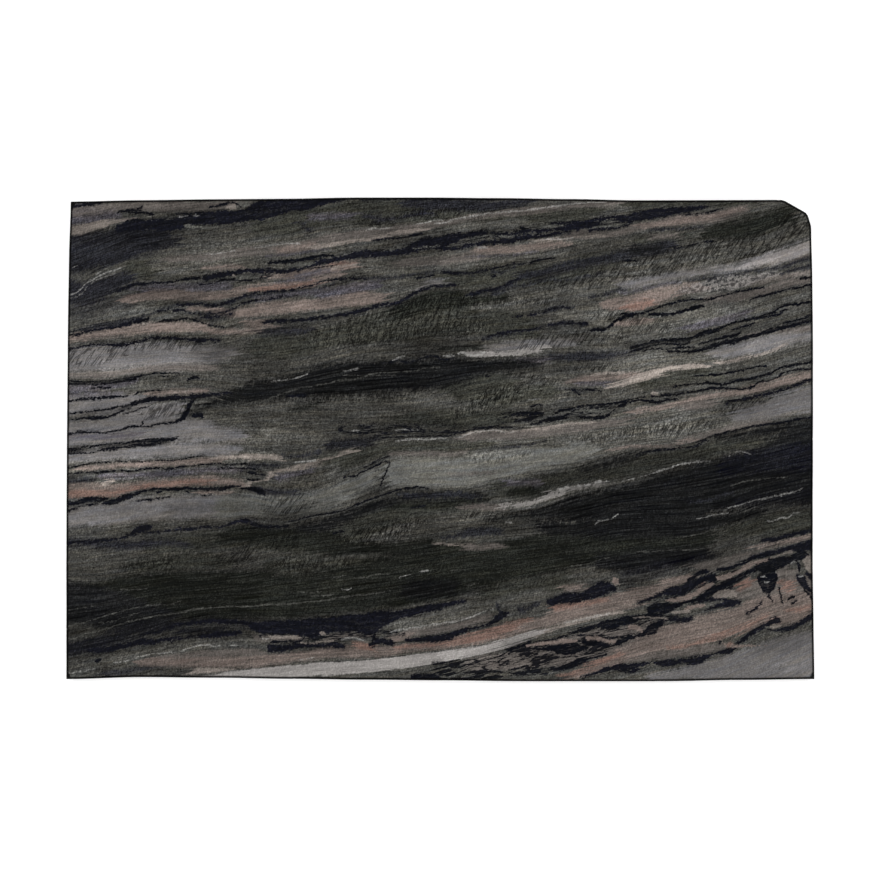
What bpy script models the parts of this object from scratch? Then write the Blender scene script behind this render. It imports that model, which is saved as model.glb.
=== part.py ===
"""A quartzite slab: one slice sawn from a block, polished on top, with wire-sawn flanks and one cropped corner.

It lies on its sawn back, which is the plane z = 0. X runs along its long side and Y across it, in metres, with
the origin under the middle of its box.
"""

import math

import bmesh
import bpy
from mathutils import Vector, noise

THICKNESS = 0.030
HALF_LENGTH = 1.525  # the lower long side is the full 3.05 m
LOWER_Y = -0.978
RIM_STEP = 0.050  # spacing of the points along the rim
ARRIS = 0.0015  # the rim is eased by hand to a narrow bevel

# The corners of the block's section. The upper right one was lost, and its stump trimmed to two short facets.
LOWER_LEFT = Vector((-HALF_LENGTH, LOWER_Y))
LOWER_RIGHT = Vector((HALF_LENGTH, LOWER_Y))
CROP_RIGHT = Vector((1.512, 0.868))
CROP_KNEE = Vector((1.496, 0.920))
CROP_TOP = Vector((1.397, 0.976))
UPPER_LEFT = Vector((-1.507, 0.969))
KNEE_ROUNDING = 0.014

# How far each side bows out of its straight chord, in millimetres, at equal steps along it.
LOWER_BOW = (0, -8, -5.5, -1, 2.5, 5, 8.5, 8.5, 8.5, 3.5, 0)
RIGHT_BOW = (0, -1.7, -3.5, -2, 0.5, 2.5, 4, 3.3, 0)
UPPER_BOW = (0, -0.5, -0.5, 5.5, 10, 13, 13.5, 9.5, 8, 5, 0)
LEFT_BOW = (0, 5, 6.8, 6.7, 6.5, 5.8, 4.5, 2, 0)

# The flanks are wire-sawn: a slow ripple, and a rougher break where the corner came away.
FLANK_RINGS = (0.30, 0.68)  # shares of the thickness
SAWN_RIPPLE = 0.0009
BROKEN_RIPPLE = 0.0030
RIPPLE_LENGTH = 0.11

# Small flakes lost from the rim: distance along it from the lower left corner, depth into the stone, and width.
BACK_CHIPS = (
    (0.41, 0.006, 0.034),
    (1.37, 0.008, 0.046),
    (2.16, 0.005, 0.030),
    (3.62, 0.007, 0.036),
    (4.27, 0.005, 0.028),
    (5.36, 0.009, 0.050),
    (6.44, 0.006, 0.034),
    (7.71, 0.007, 0.042),
    (8.58, 0.006, 0.032),
    (9.32, 0.008, 0.044),
)
FACE_CHIPS = (
    (0.93, 0.0026, 0.016),
    (2.71, 0.0024, 0.014),
    (4.03, 0.0028, 0.018),
    (5.08, 0.0030, 0.020),
    (7.02, 0.0024, 0.015),
    (9.71, 0.0028, 0.017),
)


def clear_scene():
    for obj in list(bpy.data.objects):
        bpy.data.objects.remove(obj)


def new_collection(name):
    collection = bpy.data.collections.new(name)
    bpy.context.scene.collection.children.link(collection)
    return collection


def bow_at(bow, share):
    """The bow in metres at a share of a side's length, eased between its stations."""
    place = share * (len(bow) - 1)
    station = min(int(place), len(bow) - 2)
    eased = 0.5 - 0.5 * math.cos(math.pi * (place - station))
    return (bow[station] + (bow[station + 1] - bow[station]) * eased) / 1000


def bowed_side(start, end, bow):
    """Points from start up to, not including, end, bowed outwards. The outline runs anticlockwise."""
    chord = end - start
    outward = Vector((chord.y, -chord.x)).normalized()
    count = round(chord.length / RIM_STEP)
    return [start + chord * (i / count) + outward * bow_at(bow, i / count) for i in range(count)]


def rounded_knee(before, knee, after, steps=4):
    """A short curve through a knee of the cropped corner, from one facet into the next."""
    start = knee + (before - knee).normalized() * KNEE_ROUNDING
    end = knee + (after - knee).normalized() * KNEE_ROUNDING
    shares = [i / steps for i in range(steps + 1)]
    return [start * (1 - t) ** 2 + knee * (2 * t * (1 - t)) + end * t**2 for t in shares]


def outline():
    points = bowed_side(LOWER_LEFT, LOWER_RIGHT, LOWER_BOW)
    points += bowed_side(LOWER_RIGHT, CROP_RIGHT, RIGHT_BOW)
    points += rounded_knee(LOWER_RIGHT, CROP_RIGHT, CROP_KNEE)
    points += rounded_knee(CROP_RIGHT, CROP_KNEE, CROP_TOP)
    points += rounded_knee(CROP_KNEE, CROP_TOP, UPPER_LEFT)
    points += bowed_side(CROP_TOP, UPPER_LEFT, UPPER_BOW)[1:]
    points += bowed_side(UPPER_LEFT, LOWER_LEFT, LEFT_BOW)
    return points


def plate(name, points, collection):
    """A flat outline as a filled curve, extruded to the slab's thickness and turned into a mesh."""
    curve = bpy.data.curves.new(name + "_outline", "CURVE")
    curve.dimensions = "2D"
    curve.fill_mode = "BOTH"
    curve.extrude = THICKNESS / 2
    spline = curve.splines.new("POLY")
    spline.points.add(len(points) - 1)
    for point, place in zip(spline.points, points):
        point.co = (place.x, place.y, 0, 1)
    spline.use_cyclic_u = True
    drawn = bpy.data.objects.new(name + "_outline", curve)
    drawn.location.z = THICKNESS / 2
    collection.objects.link(drawn)
    bpy.context.view_layer.update()
    seen = drawn.evaluated_get(bpy.context.evaluated_depsgraph_get())
    mesh = bpy.data.meshes.new_from_object(seen)
    mesh.name = name
    mesh.transform(drawn.matrix_world)
    bpy.data.objects.remove(drawn)
    slab = bpy.data.objects.new(name, mesh)
    collection.objects.link(slab)
    return slab


def is_rim(vert):
    return min(vert.co.z, THICKNESS - vert.co.z) < 1e-5


def ripple_at(place):
    """How far the sawn flank stands out of its plane here. The break at the cropped corner is rougher."""
    away = (place.xy - CROP_KNEE).length
    broken = max(0.0, 1 - away / 0.16)
    size = SAWN_RIPPLE + (BROKEN_RIPPLE - SAWN_RIPPLE) * broken
    length = RIPPLE_LENGTH * (1 - 0.6 * broken)
    return size * noise.noise(Vector((place.x, place.y, 2.5 * place.z)) / length)


def roughen_flanks(slab):
    """Cuts rings round the flanks and moves their points in and out. The two rims and both faces stay flat."""
    bm = bmesh.new()
    bm.from_mesh(slab.data)
    bmesh.ops.remove_doubles(bm, verts=bm.verts, dist=1e-5)
    for share in FLANK_RINGS:
        everything = bm.verts[:] + bm.edges[:] + bm.faces[:]
        bmesh.ops.bisect_plane(
            bm, geom=everything, plane_co=(0, 0, share * THICKNESS), plane_no=(0, 0, 1)
        )
    bmesh.ops.dissolve_limit(
        bm,
        angle_limit=math.radians(0.5),
        verts=[v for v in bm.verts if is_rim(v)],
        edges=[e for e in bm.edges if all(is_rim(v) for v in e.verts)],
    )
    bm.normal_update()
    for vert in bm.verts:
        if not is_rim(vert):
            outward = Vector((vert.normal.x, vert.normal.y, 0)).normalized()
            vert.co += outward * ripple_at(vert.co)
    bm.to_mesh(slab.data)
    bm.free()


def along_rim(points, distance):
    """The point at this distance round the outline, and the direction out of the stone there."""
    for here, after in zip(points, points[1:] + points[:1]):
        step = after - here
        if distance <= step.length:
            outward = Vector((step.y, -step.x)).normalized()
            return here + step.normalized() * distance, outward
        distance -= step.length
    raise ValueError("the chip lies past the end of the rim")


def chip_cutter(name, points, distance, depth, width, height, collection):
    """A flattened ball that takes one shell-shaped flake from the rim at this height."""
    place, outward = along_rim(points, distance)
    bpy.ops.mesh.primitive_ico_sphere_add(subdivisions=2, radius=1)
    cutter = bpy.context.object
    cutter.name = name
    cutter.scale = (depth * 1.7, width / 2, depth * 1.5)
    cutter.rotation_euler.z = math.atan2(outward.y, outward.x)
    cutter.location = (*(place + outward * depth * 0.7), height)
    cutter.display_type = "WIRE"
    cutter.hide_render = True
    for other in cutter.users_collection:
        other.objects.unlink(cutter)
    collection.objects.link(cutter)


def chip_cutters(points, collection):
    for side, chips, height in (("back", BACK_CHIPS, 0), ("face", FACE_CHIPS, THICKNESS)):
        for i, (distance, depth, width) in enumerate(chips):
            chip_cutter(f"{side}_chip_{i}", points, distance, depth, width, height, collection)


def ease_rim(slab):
    bevel = slab.modifiers.new("arris", "BEVEL")
    bevel.width = ARRIS
    bevel.segments = 1
    bevel.limit_method = "ANGLE"
    bevel.angle_limit = math.radians(50)


def lose_chips(slab, cutters):
    chips = slab.modifiers.new("chips", "BOOLEAN")
    chips.operation = "DIFFERENCE"
    chips.operand_type = "COLLECTION"
    chips.collection = cutters
    chips.solver = "EXACT"


def stone():
    material = bpy.data.materials.new("quartzite")
    material.use_nodes = True
    surface = material.node_tree.nodes["Principled BSDF"]
    surface.inputs["Base Color"].default_value = (0.075, 0.072, 0.066, 1)
    surface.inputs["Roughness"].default_value = 0.3
    surface.inputs["Metallic"].default_value = 0.0
    return material


def main():
    clear_scene()
    parts = new_collection("quartzite_slab_parts")
    cutters = new_collection("chip_cutters")
    points = outline()
    slab = plate("slab", points, parts)
    slab.data.materials.clear()
    slab.data.materials.append(stone())
    roughen_flanks(slab)
    ease_rim(slab)
    chip_cutters(points, cutters)
    lose_chips(slab, cutters)


main()
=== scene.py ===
"""The looks of the quartzite slab: its minerals, polish, flanks and back, with a floor, light and camera.

The face's beds, seams and veins are strokes. Each is a line of points read off the slab: x and y on
the face and the half-width of the stroke there, all in centimetres from the middle of the slab's box.
"""
import math

import bmesh
import bpy
import numpy as np
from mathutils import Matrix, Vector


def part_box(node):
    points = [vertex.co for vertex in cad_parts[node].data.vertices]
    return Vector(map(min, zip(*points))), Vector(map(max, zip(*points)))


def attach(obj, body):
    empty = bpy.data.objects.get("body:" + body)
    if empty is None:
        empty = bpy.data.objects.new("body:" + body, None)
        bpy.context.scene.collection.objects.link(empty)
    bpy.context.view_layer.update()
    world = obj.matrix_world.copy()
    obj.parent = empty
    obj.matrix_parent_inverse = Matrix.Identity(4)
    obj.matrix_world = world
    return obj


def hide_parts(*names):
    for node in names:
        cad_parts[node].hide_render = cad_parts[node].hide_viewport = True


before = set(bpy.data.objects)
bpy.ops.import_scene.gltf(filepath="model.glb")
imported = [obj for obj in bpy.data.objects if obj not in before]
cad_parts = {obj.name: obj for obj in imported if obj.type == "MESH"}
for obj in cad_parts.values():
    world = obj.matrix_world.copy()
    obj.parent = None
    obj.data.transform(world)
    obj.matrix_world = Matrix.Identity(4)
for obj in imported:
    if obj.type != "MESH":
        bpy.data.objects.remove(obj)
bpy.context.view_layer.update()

cad_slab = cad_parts["slab"]
LOW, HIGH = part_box("slab")
THICKNESS = HIGH[2] - LOW[2]

CM = 0.01
SPAN = 3.10  # the strokes' curves run over this length, centred on the slab
REACH = SPAN / 2
EDGE_ZONE = 1.49  # a stroke that ends past this runs on off the slab
GAP = 0.03  # strokes that share a curve are at least this far apart along x
END = 0.010  # a stroke closes over this distance past its last point
GRID = 0.020  # spacing of the mesh that carries the bedding coordinate
DIP = 0.55  # the beds lean by this much for each unit of thickness
SHARP_TURN = 32  # edges that turn by more degrees than this are crisp
LEVEL = 0.9999  # a face whose normal rises at least this much is flat
FACE_DEPTH = 0.0018  # the polished face and its bevel reach this far down

# The photograph is 881 pixels wide, and one of its pixels covers this much of the polished face.
PHOTO_WIDTH = 881
PIXEL = 0.0040759
PHOTO_CENTRE = (0.0006, -0.0051)
CAMERA_HEIGHT = 8.0
SENSOR = 36.0

# What the minerals look like in the photograph, as 8-bit sRGB.
MINERALS = {
    "ink": (10, 12, 19),
    "navy": (17, 18, 26),
    "charcoal": (21, 22, 23),
    "slate": (37, 38, 43),
    "moss": (33, 35, 31),
    "olive": (56, 57, 52),
    "sage": (82, 82, 78),
    "ash": (107, 106, 106),
    "fern": (103, 104, 100),
    "lilac": (82, 80, 86),
    "beige": (98, 92, 88),
    "rose": (118, 106, 100),
    "salmon": (126, 99, 89),
    "shell": (140, 131, 124),
    "quartz": (147, 143, 140),
    "white": (168, 167, 164),
}
GROUND = ("sage", 0.78)  # the stone between the beds, and how bright it is

# Minerals whose beds are nearly free of streaks, and how much of the streaks they lose.
EVEN = {
    "ash": 0.60,
    "fern": 0.45,
    "beige": 0.50,
    "rose": 0.50,
    "salmon": 0.45,
    "quartz": 0.65,
    "shell": 0.50,
}
BROKEN = ("beige", "rose", "salmon")  # minerals whose bands break up along the beds
SEAM_HAZE = {"navy": 0.035, "ink": 0.016}  # thin dark lines and specks lie this far round a seam
HAZE_COLOUR = ("slate", 0.5)
COOL_TINT = (0.96, 0.97, 1.04, 1)
WARM_TINT = (1.08, 1.01, 0.93, 1)
LINE_COLOUR = (0.0100, 0.0103, 0.0095)  # what the long thin streaks add, as linear colour

# The rim with its painted shade, the sawn sides and the polish.
RIM_SHADE_WIDTH = 0.0100  # painted shade: the polished face is darker over this distance from its rim
# how dark the painted shade along the rim is, as a gain on the stone
RIM_SHADE = 0.06
SAWN_TINT = (1.25, 1.24, 1.22, 1)
SAWN_DUST = (0.30, 0.295, 0.285, 1.0)  # the paler dust of a sawn surface, as linear colour
DUST_SHARE = 0.42
SAWN_RELIEF = 0.00035
SAW_MARKS = (1.6, 340.0, 300.0)  # how closely the saw's scores follow one another along x, y and z
POLISH_RELIEF = 0.000012
QUARTZ_IOR = 1.54
SPECKLE_SCALE = 165.0
GRAIN_SCALE = 480.0

# Noise that runs with the beds: how long its streaks are, how thick, and a seed that sets it apart.
ALONG_BEDS = {
    "sway": (0.085, 0.030, 0.0),
    "ripple": (0.020, 0.011, 3.0),
    "nudge": (0.030, 0.012, 7.0),
    "slip": (0.200, 0.011, 5.0),
    "broad edge": (0.030, 0.0120, 13.0),
    "fine edge": (0.0090, 0.0062, 11.0),
    "seam gaps": (0.110, 0.0110, 17.0),
    "haze lines": (0.200, 0.0130, 21.0),
    "hue": (0.150, 0.0170, 9.0),
    "band breaks": (0.110, 0.0080, 25.0),
    "pale lines": (0.220, 0.0048, 41.0),
    "thread widths": (0.110, 0.0250, 33.0),
    "threads": (0.088, 0.0150, 31.0),
    "foliation": (0.130, 0.0130, 1.0),
    "laminae": (0.300, 0.0075, 2.0),
    "mottle": (0.0105, 0.0090, 8.0),
    "tone": (0.500, 0.0900, 4.0),
    "dark lines": (0.200, 0.0120, 6.0),
    "crumbs": (0.0160, 0.0100, 51.0),
}

# Noise in straight stripes across the beds: their turn from +X in degrees, length, thickness and seed.
ACROSS_BEDS = {
    "bed edge": (68, 0.026, 0.0075, 2.0),
    "crinkle": (70, 0.021, 0.0078, 5.0),
    "striations": (56, 0.090, 0.0130, 1.0),
    "crumpling": (72, 0.022, 0.0070, 5.0),
}

# How far the strokes' lines stray from the points given.
SWAY = 0.0030
RIPPLE = 0.0022
NUDGE = 0.0060
SLIP = 0.0500

# The map of the slab's sides: where each one's strip starts, from the bottom of the map, and its height.
MAP_MARGIN = 0.004
MAP_FACE = (0.345, 0.65)
MAP_BACK = (0.095, 0.24)
MAP_UPPER = (0.010, 0.016)
MAP_LOWER = (0.032, 0.016)
MAP_RIGHT = (0.054, 0.014)
MAP_LEFT = (0.076, 0.014)

# The studio: a pale floor with a faint glow, a lamp at either side, and a sky that is dark straight overhead.
FLOOR_SIZE = 40
FLOOR_GAP = 0.001
FLOOR_COLOUR = (0.92, 0.92, 0.92, 1)
FLOOR_ROUGHNESS = 0.9
FLOOR_GLOW = 0.30
SKY_STRENGTH = 1.25
SKY_BRIGHT = (0.72, (1, 1, 1, 1))  # the sky is this bright up to this height, where 1 is overhead
SKY_DARK = (0.90, (0.03, 0.03, 0.03, 1))
LAMP_POWER = 130
LAMP_SIZE = 3
LAMP_PLACE = (6, 0.5, 4.0)
LAMP_TILT = 56

# The beds in drawing order, with the dark ones last: mineral, softness of the edge in centimetres, raggedness
# as a share of it, opacity, strokes.
BEDS = (
    ("olive", 3.0, 0.5, 1.0, (
        "-128 70 3, -118 69.5 4, -108 68 3",
        "-76 85 6, -65 87.5 6, -55 90 5, -45 92 5, -25 92.5 5.5, 5 93 4.5, 35 91 3, 50 91 3, 65 93 2.5",
        "75 95.5 2.5, 130 97 1.5",
        "78 80.5 2, 90 81 2, 103 83.5 1.5",
        "-78 38 4, -65 38 5, -50 40 5, -5 49 8, 10 50 7, 25 48 6, 40 45 3",
        "-15 66 4, 0 66 4, 15 66 5, 30 67 5, 45 66 5, 60 70 5, 72 72 4",
        "0 22 4, 10 21 6, 20 20 7, 35 21 6, 48 21 5",
        "-20 9 2, -12 9.5 3, -2 9 4, 8 8 4, 20 8 4, 30 9 3",
        "82 22 3, 100 26 3, 108 27 2.5, 116 26 2",
        "-50 -10 3, -40 -9 4, -30 -6 3.5, -20 -3.5 2, 2 -3 2.3, 12 -3 1.8, 22 -1.5 1",
        "-120 -43 3, -100 -42 4, -85 -40 4.5, -72 -40 5, -60 -42 5, -40 -40 6, -25 -33 5, -10 -28 4, 5 -27 4,"
        " 15 -25 3",
        "20 -20 3, 32 -20 4, 58 -14 3.5, 70 -13.5 3, 90 -8.5 3.5, 100 -6.5 3, 110 -4.5 3.5, 120 -2.5 3,"
        " 142 -1.5 2",
        "-128 -52 2.5, -115 -51 3, -100 -50 3, -85 -50 2.5",
        "-72 -51 2, -60 -52 4, -48 -52 4, -28 -49.5 1.5",
        "-68 -59 2.5, -55 -58.5 3, -42 -58 2.5",
        "15 -62 2, 25 -62 4, 35 -60 4.5, 45 -59 4, 55 -57 3",
        "114 -38 2, 122 -36 3.5, 132 -35 4.5, 153 -33 4.5",
    )),
    ("sage", 3.0, 0.5, 1.0, (
        "-118 70.5 2, -108 71 4.5, -86 74 7, -76 75 7.5, -56 75.5 4",
        "-154 52 2, -142 52 3, -132 54 2.5, -120 54 2, -108 52.5 2, -96 52 2",
        "-52 77 1, -40 78 1.4, -10 82 1.2, 12 87 1.6, 36 88 1",
        "-30 71 3, -18 72 4, -5 72 4, 8 73 4, 20 75 4, 32 76 4, 45 78 3, 58 82 3, 72 84.5 2",
        "-25 61 3, -12 63 2.5, 0 64.5 1.5",
        "15 53 2, 35 57.5 3.5, 55 60.5 5, 66 63 6, 90 67 6, 102 69.5 5, 112 73 5, 122 76 4",
        "-50 32.5 1.5, -28 36.5 2.2, -20 37 2.2, -12 38 1.6",
        "45 52 2, 55 50 4, 80 46 6, 92 47 6, 105 48 5, 118 50 4, 130 53 4, 153 60 4",
        "30 25 3, 70 30 3, 95 33.5 3, 108 34 4, 135 40 4.5, 153 43.5 5",
        "-154 12 8, -128 14 10, -116 14 10, -104 13 9, -94 12.5 6, -84 8 5, -72 8.5 5, -60 9.5 6, -48 10.5 6,"
        " -24 14 5.5, -4 16 3, 4 16.5 2.5",
        "-80 0 5, -68 0 5, -46 3 3",
        "-60 -17 3, -50 -15 4, -42 -12.5 3",
        "20 1.5 2, 44 2 5.5, 68 4 7, 104 8 7, 116 8.5 6, 128 11 5, 140 13 5, 153 17 6",
        "-2 -33 2, 8 -32.8 2, 18 -31.5 2, 27 -32 1.2",
        "-154 -56 2, -144 -56.5 2, -136 -56 1",
        "-154 -49 4, -142 -49 4.5, -132 -50 3.5",
        "-154 -92 3, -142 -91 2.5, -130 -88.8 2, -120 -86.3 1.8, -96 -83 1.4, -84 -82 1.5, -74 -82 1.5",
        "-18 -76 1.5, 0 -72 2.6, 24 -67 2, 34 -65 2.5, 44 -63 2",
        "2 -42.6 .8, 8 -43.6 2.2, 14 -44 3, 20 -43.8 2.8, 26 -42.8 2, 32 -41 .8",
        "118 -86.4 .8, 124 -84.4 1.6, 132 -81.4 2, 154 -76.8 2",
    )),
    ("ash", 2.4, 0.5, 1.0, (
        "-154 32 5, -142 33 5.5, -130 34 5, -117 34.5 5, -106 34.5 4.3, -82 35 .6",
        "-154 5.3 1.8, -142 6 2.2, -131 7.5 2.6, -121 9.5 3.6, -112 11 3.6, -105 12.5 2.2",
        "-154 -8 2, -131 -5.5 2.8, -100 -4 2.8, -82 -4.8 1",
        "18 37 .6, 34 38.2 2, 42 39 1.8, 58 41 .5",
        "104 67.6 .8, 118 69.4 1.4, 137 74.2 2.6, 154 79.6 2.6",
        "110 35 1.5, 130 38.5 3, 153 43.5 2.6",
        "118 9.5 1.5, 126 10.5 3, 145 15.5 5, 154 18 5.4",
        "84 -97.5 1.5, 100 -95.3 2.6, 115 -92.8 4.2, 143 -86 6.6, 154 -84.5 7.4",
        "-10 60.6 .5, -4 63.6 1, 3 64.4 .6",
        "72 62.5 1.4, 84 64 1.8, 96 67 1.8, 106 68 1.2",
        "-154 -32.5 3.5, -145 -31 4, -135 -30.5 4.4, -125 -29 4.7, -95 -27.6 4.6, -88 -27.3 4.4",
        "-154 13 4, -140 14 4, -118 15 2",
        "-154 1 4, -118 3.4 4, -106 4 4.6, -96 3.4 4, -88 2 3, -80 1.6 2",
        "108 -97.4 .8, 154 -94 3",
    )),
    ("fern", 2.4, 0.5, 1.0, (
        "-92 -27.5 4.4, -75 -27 4, -55 -26.7 4.2, -46 -24.6 4.4, -31 -17.4 3.8, -25 -15.4 2.4",
        "-23 -14 1, -21 -14.3 4.5, -16 -13.4 6, -6 -13.4 6.4, 4 -13.9 6.2, 12 -12.8 6.2, 28 -9.8 5.6,"
        " 46 -7.4 4.3, 64 -4.4 1.6",
    )),
    ("quartz", 2.4, 0.5, 0.55, (
        "122 70.8 .6, 134 73.6 2, 154 80 2.4",
        "-150 25.8 .7, -130 27 1, -111 29 .9, -102 29 .5",
    )),
    ("lilac", 1.8, 0.6, 0.9, (
        "-154 91 4, -132 92.5 2.5",
        "-126 60.5 1.2, -112 62 1.6, -98 62 1.6, -86 63 1",
        "-76 57 1.4, -55 59.8 1.2, -48 59.5 2, -32 62 2.3, -24 63 1.6",
        "-64 64.3 1, -55 66 1.4, -40 69 .7",
        "-55 90.5 .6, -50 90.6 1.4, -33 91.2 .7",
        "-154 20 1.8, -134 21.8 1.4, -124 24 .8",
        "-154 17 1, -142 18.3 .8, -130 18.8 .6",
        "-154 1 1, -142 1 1, -122 2.8 .8",
        "-140 -15.3 .7, -120 -14.6 1.1, -88 -12.4 1, -80 -12.6 .8",
        "-68 -16 .9, -58 -13.6 1.2, -53 -12.2 .8",
        "26 -17.8 1.2, 34 -18 1.4, 42 -17 .8",
        "30 31.8 1.4, 38 31.7 1.6, 46 32.4 1",
        "57 22.4 .8, 63 22.9 1.1, 68 22.6 .7",
        "98 43.5 1, 118 49.5 1.4, 128 51.6 1.2",
    )),
    ("slate", 2.6, 0.5, 1.0, (
        "-154 78 5.4, -145 78.6 5.4, -129 81.8 4.6, -120 82 3.6, -111 83 2",
        "-154 63 5, -146 59 5, -138 61 4.6, -131 64.5 3.4, -124 66 2",
        "-59 88.8 .5, -56 87 1.4, -52 84.5 1.2",
        "-30 91.5 .6, -26 90 1.6, -19 89.6 1.2, -12 91.5 1, -2 92 1.2",
        "-16 96 1, 4 95.6 2.6, 15 95.3 2.6, 26 95.6 2, 38 97 1",
        "-76 43.7 1.2, -60 44.2 1.6, -52 44.4 1",
        "30 66.5 1.4, 66 73 2, 86 77.5 2.8, 96 79 2",
        "44 33.6 1.2, 64 34 1.5, 80 34.8 .5",
        "-47 -3.3 1.6, -40 -2 2.2, -25 .5 1",
        "-154 -17 1.2, -146 -16.8 1.2, -141 -17.3 .7",
        "-154 -41.5 1.2, -134 -43 2, -124 -43 2, -114 -42 1.4, -100 -43 .8",
        "-78 -20.5 1.4, -71 -21.2 1.6, -64 -21.8 1.2, -57 -21.6 .7",
        "-154 -86 3.6, -145 -84.6 3.4, -129 -79.2 3, -120 -76 3, -108 -74 2",
        "-108 -78.3 1.3, -88 -76.8 1",
        "-139 -95.8 1, -130 -95 1, -122 -93.6 .7, -113 -92.8 .6",
        "-78 -36 2.4, -68 -37 2.4",
        "-154 70.5 3.6, -145 72 4, -125 77.7 3.6, -115 79.4 2.8, -105 80.6 1.4",
    )),
    ("moss", 2.6, 0.5, 1.0, (
        "-20 52 3.5, -10 55 4, 0 57 4.4, 18 57 2.2, 28 58 1",
        "-150 -60 1, -140 -60 2, -128 -59 3.4, -92 -58.5 4.8, -80 -58 4.6, -68 -56 2.6",
        "-152 -68 6, -140 -68 8, -128 -67 9, -116 -65 9, -104 -64 9.5, -80 -64.5 9, -56 -63.5 9, -20 -58 11,"
        " 4 -53.5 11.5, 16 -51.5 9, 40 -47 8.5, 64 -41.5 9.5, 88 -41 8, 100 -41 6.5, 112 -40.5 3",
        "-90 -39.5 2.6, -80 -38.5 3.4, -70 -40 4, -46 -42 5, -34 -44.5 2.4, -20 -44.5 2.6, -6 -43.6 3,"
        " 4 -46 3.5",
        "-30 -27.5 2, -22 -27 1.8, -12 -27.5 1.6, 10 -25.5 1.4, 20 -24 1.2",
        "27 -21.4 1.3, 34 -21 2, 41 -21.6 1.7, 46 -20.6 .8",
        "-62 11 .8, -56 13 1.1, -49 15 .8",
        "0 37.3 1, 10 36.8 .8, 20 38.4 .5",
        "106 83 1.4, 122 85.6 4, 130 87.4 4.6, 138 90 4.2, 146 92.5 2.6",
    )),
    ("slate", 2.6, 0.5, 0.6, (
        "-154 -66 8, -140 -68 8, -128 -70 7, -118 -72 5, -108 -73 3",
        "-154 52.4 3, -144 53 3, -134 55 2.4, -124 56 1.2",
    )),
    ("charcoal", 3.2, 0.6, 1.0, (
        "-106 10.6 .4, -98 12.6 1, -90 15.6 2.2, -80 18.4 4, -61 21.4 5.2, -51 23.4 6.4, -41 24.7 7,"
        " -10 26 6.4, 0 27 6.4, 20 29.5 3.2, 42 30.8 1",
        "-60 -35.8 1.2, -52 -36 2.6, -44 -33.8 3, -21 -25.4 2, -14 -23.5 2, 1 -22.5 1.9, 17 -22.8 1.1",
        "54 -12.8 .6, 78 -7.3 1.7, 84 -6 .9",
        "18 -34.5 .4, 36 -31 1.8, 53 -28.5 5, 82 -25.5 9, 92 -23.6 10.6, 102 -21.6 11.6, 112 -19 10.6,"
        " 122 -16.5 11, 132 -13.5 12.6, 142 -11.5 15, 154 -10 16.5",
        "112 .5 .8, 120 1.4 1.6, 140 4.6 2.2, 154 6.2 2.6",
        "40 -35.5 2, 50 -36.5 3, 74 -37 3.6, 98 -35.5 4.4, 110 -34 3.4, 120 -32 2.4, 132 -29.5 1.8",
        "-16 -61.5 2.4, -8 -61 4, 0 -60.5 3.6, 8 -60 2.4",
        "62 -50 2.4, 72 -50.5 4, 82 -49.8 4.4, 92 -48.4 4, 112 -46 1.6",
        "76 77 2, 84 77.4 1.8, 92 78 1",
    )),
    ("navy", 3.0, 0.6, 0.6, (
        "112 -10.5 3, 122 -9.5 4.6, 132 -9 4.4, 154 -6.5 6",
        "118 -25.8 1, 128 -25.8 2, 154 -22.4 2.6",
        "73 -57.4 3.4, 80 -56 4, 101 -50 2.4, 108 -49 2, 114 -47.4 1.6",
    )),
)

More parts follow.
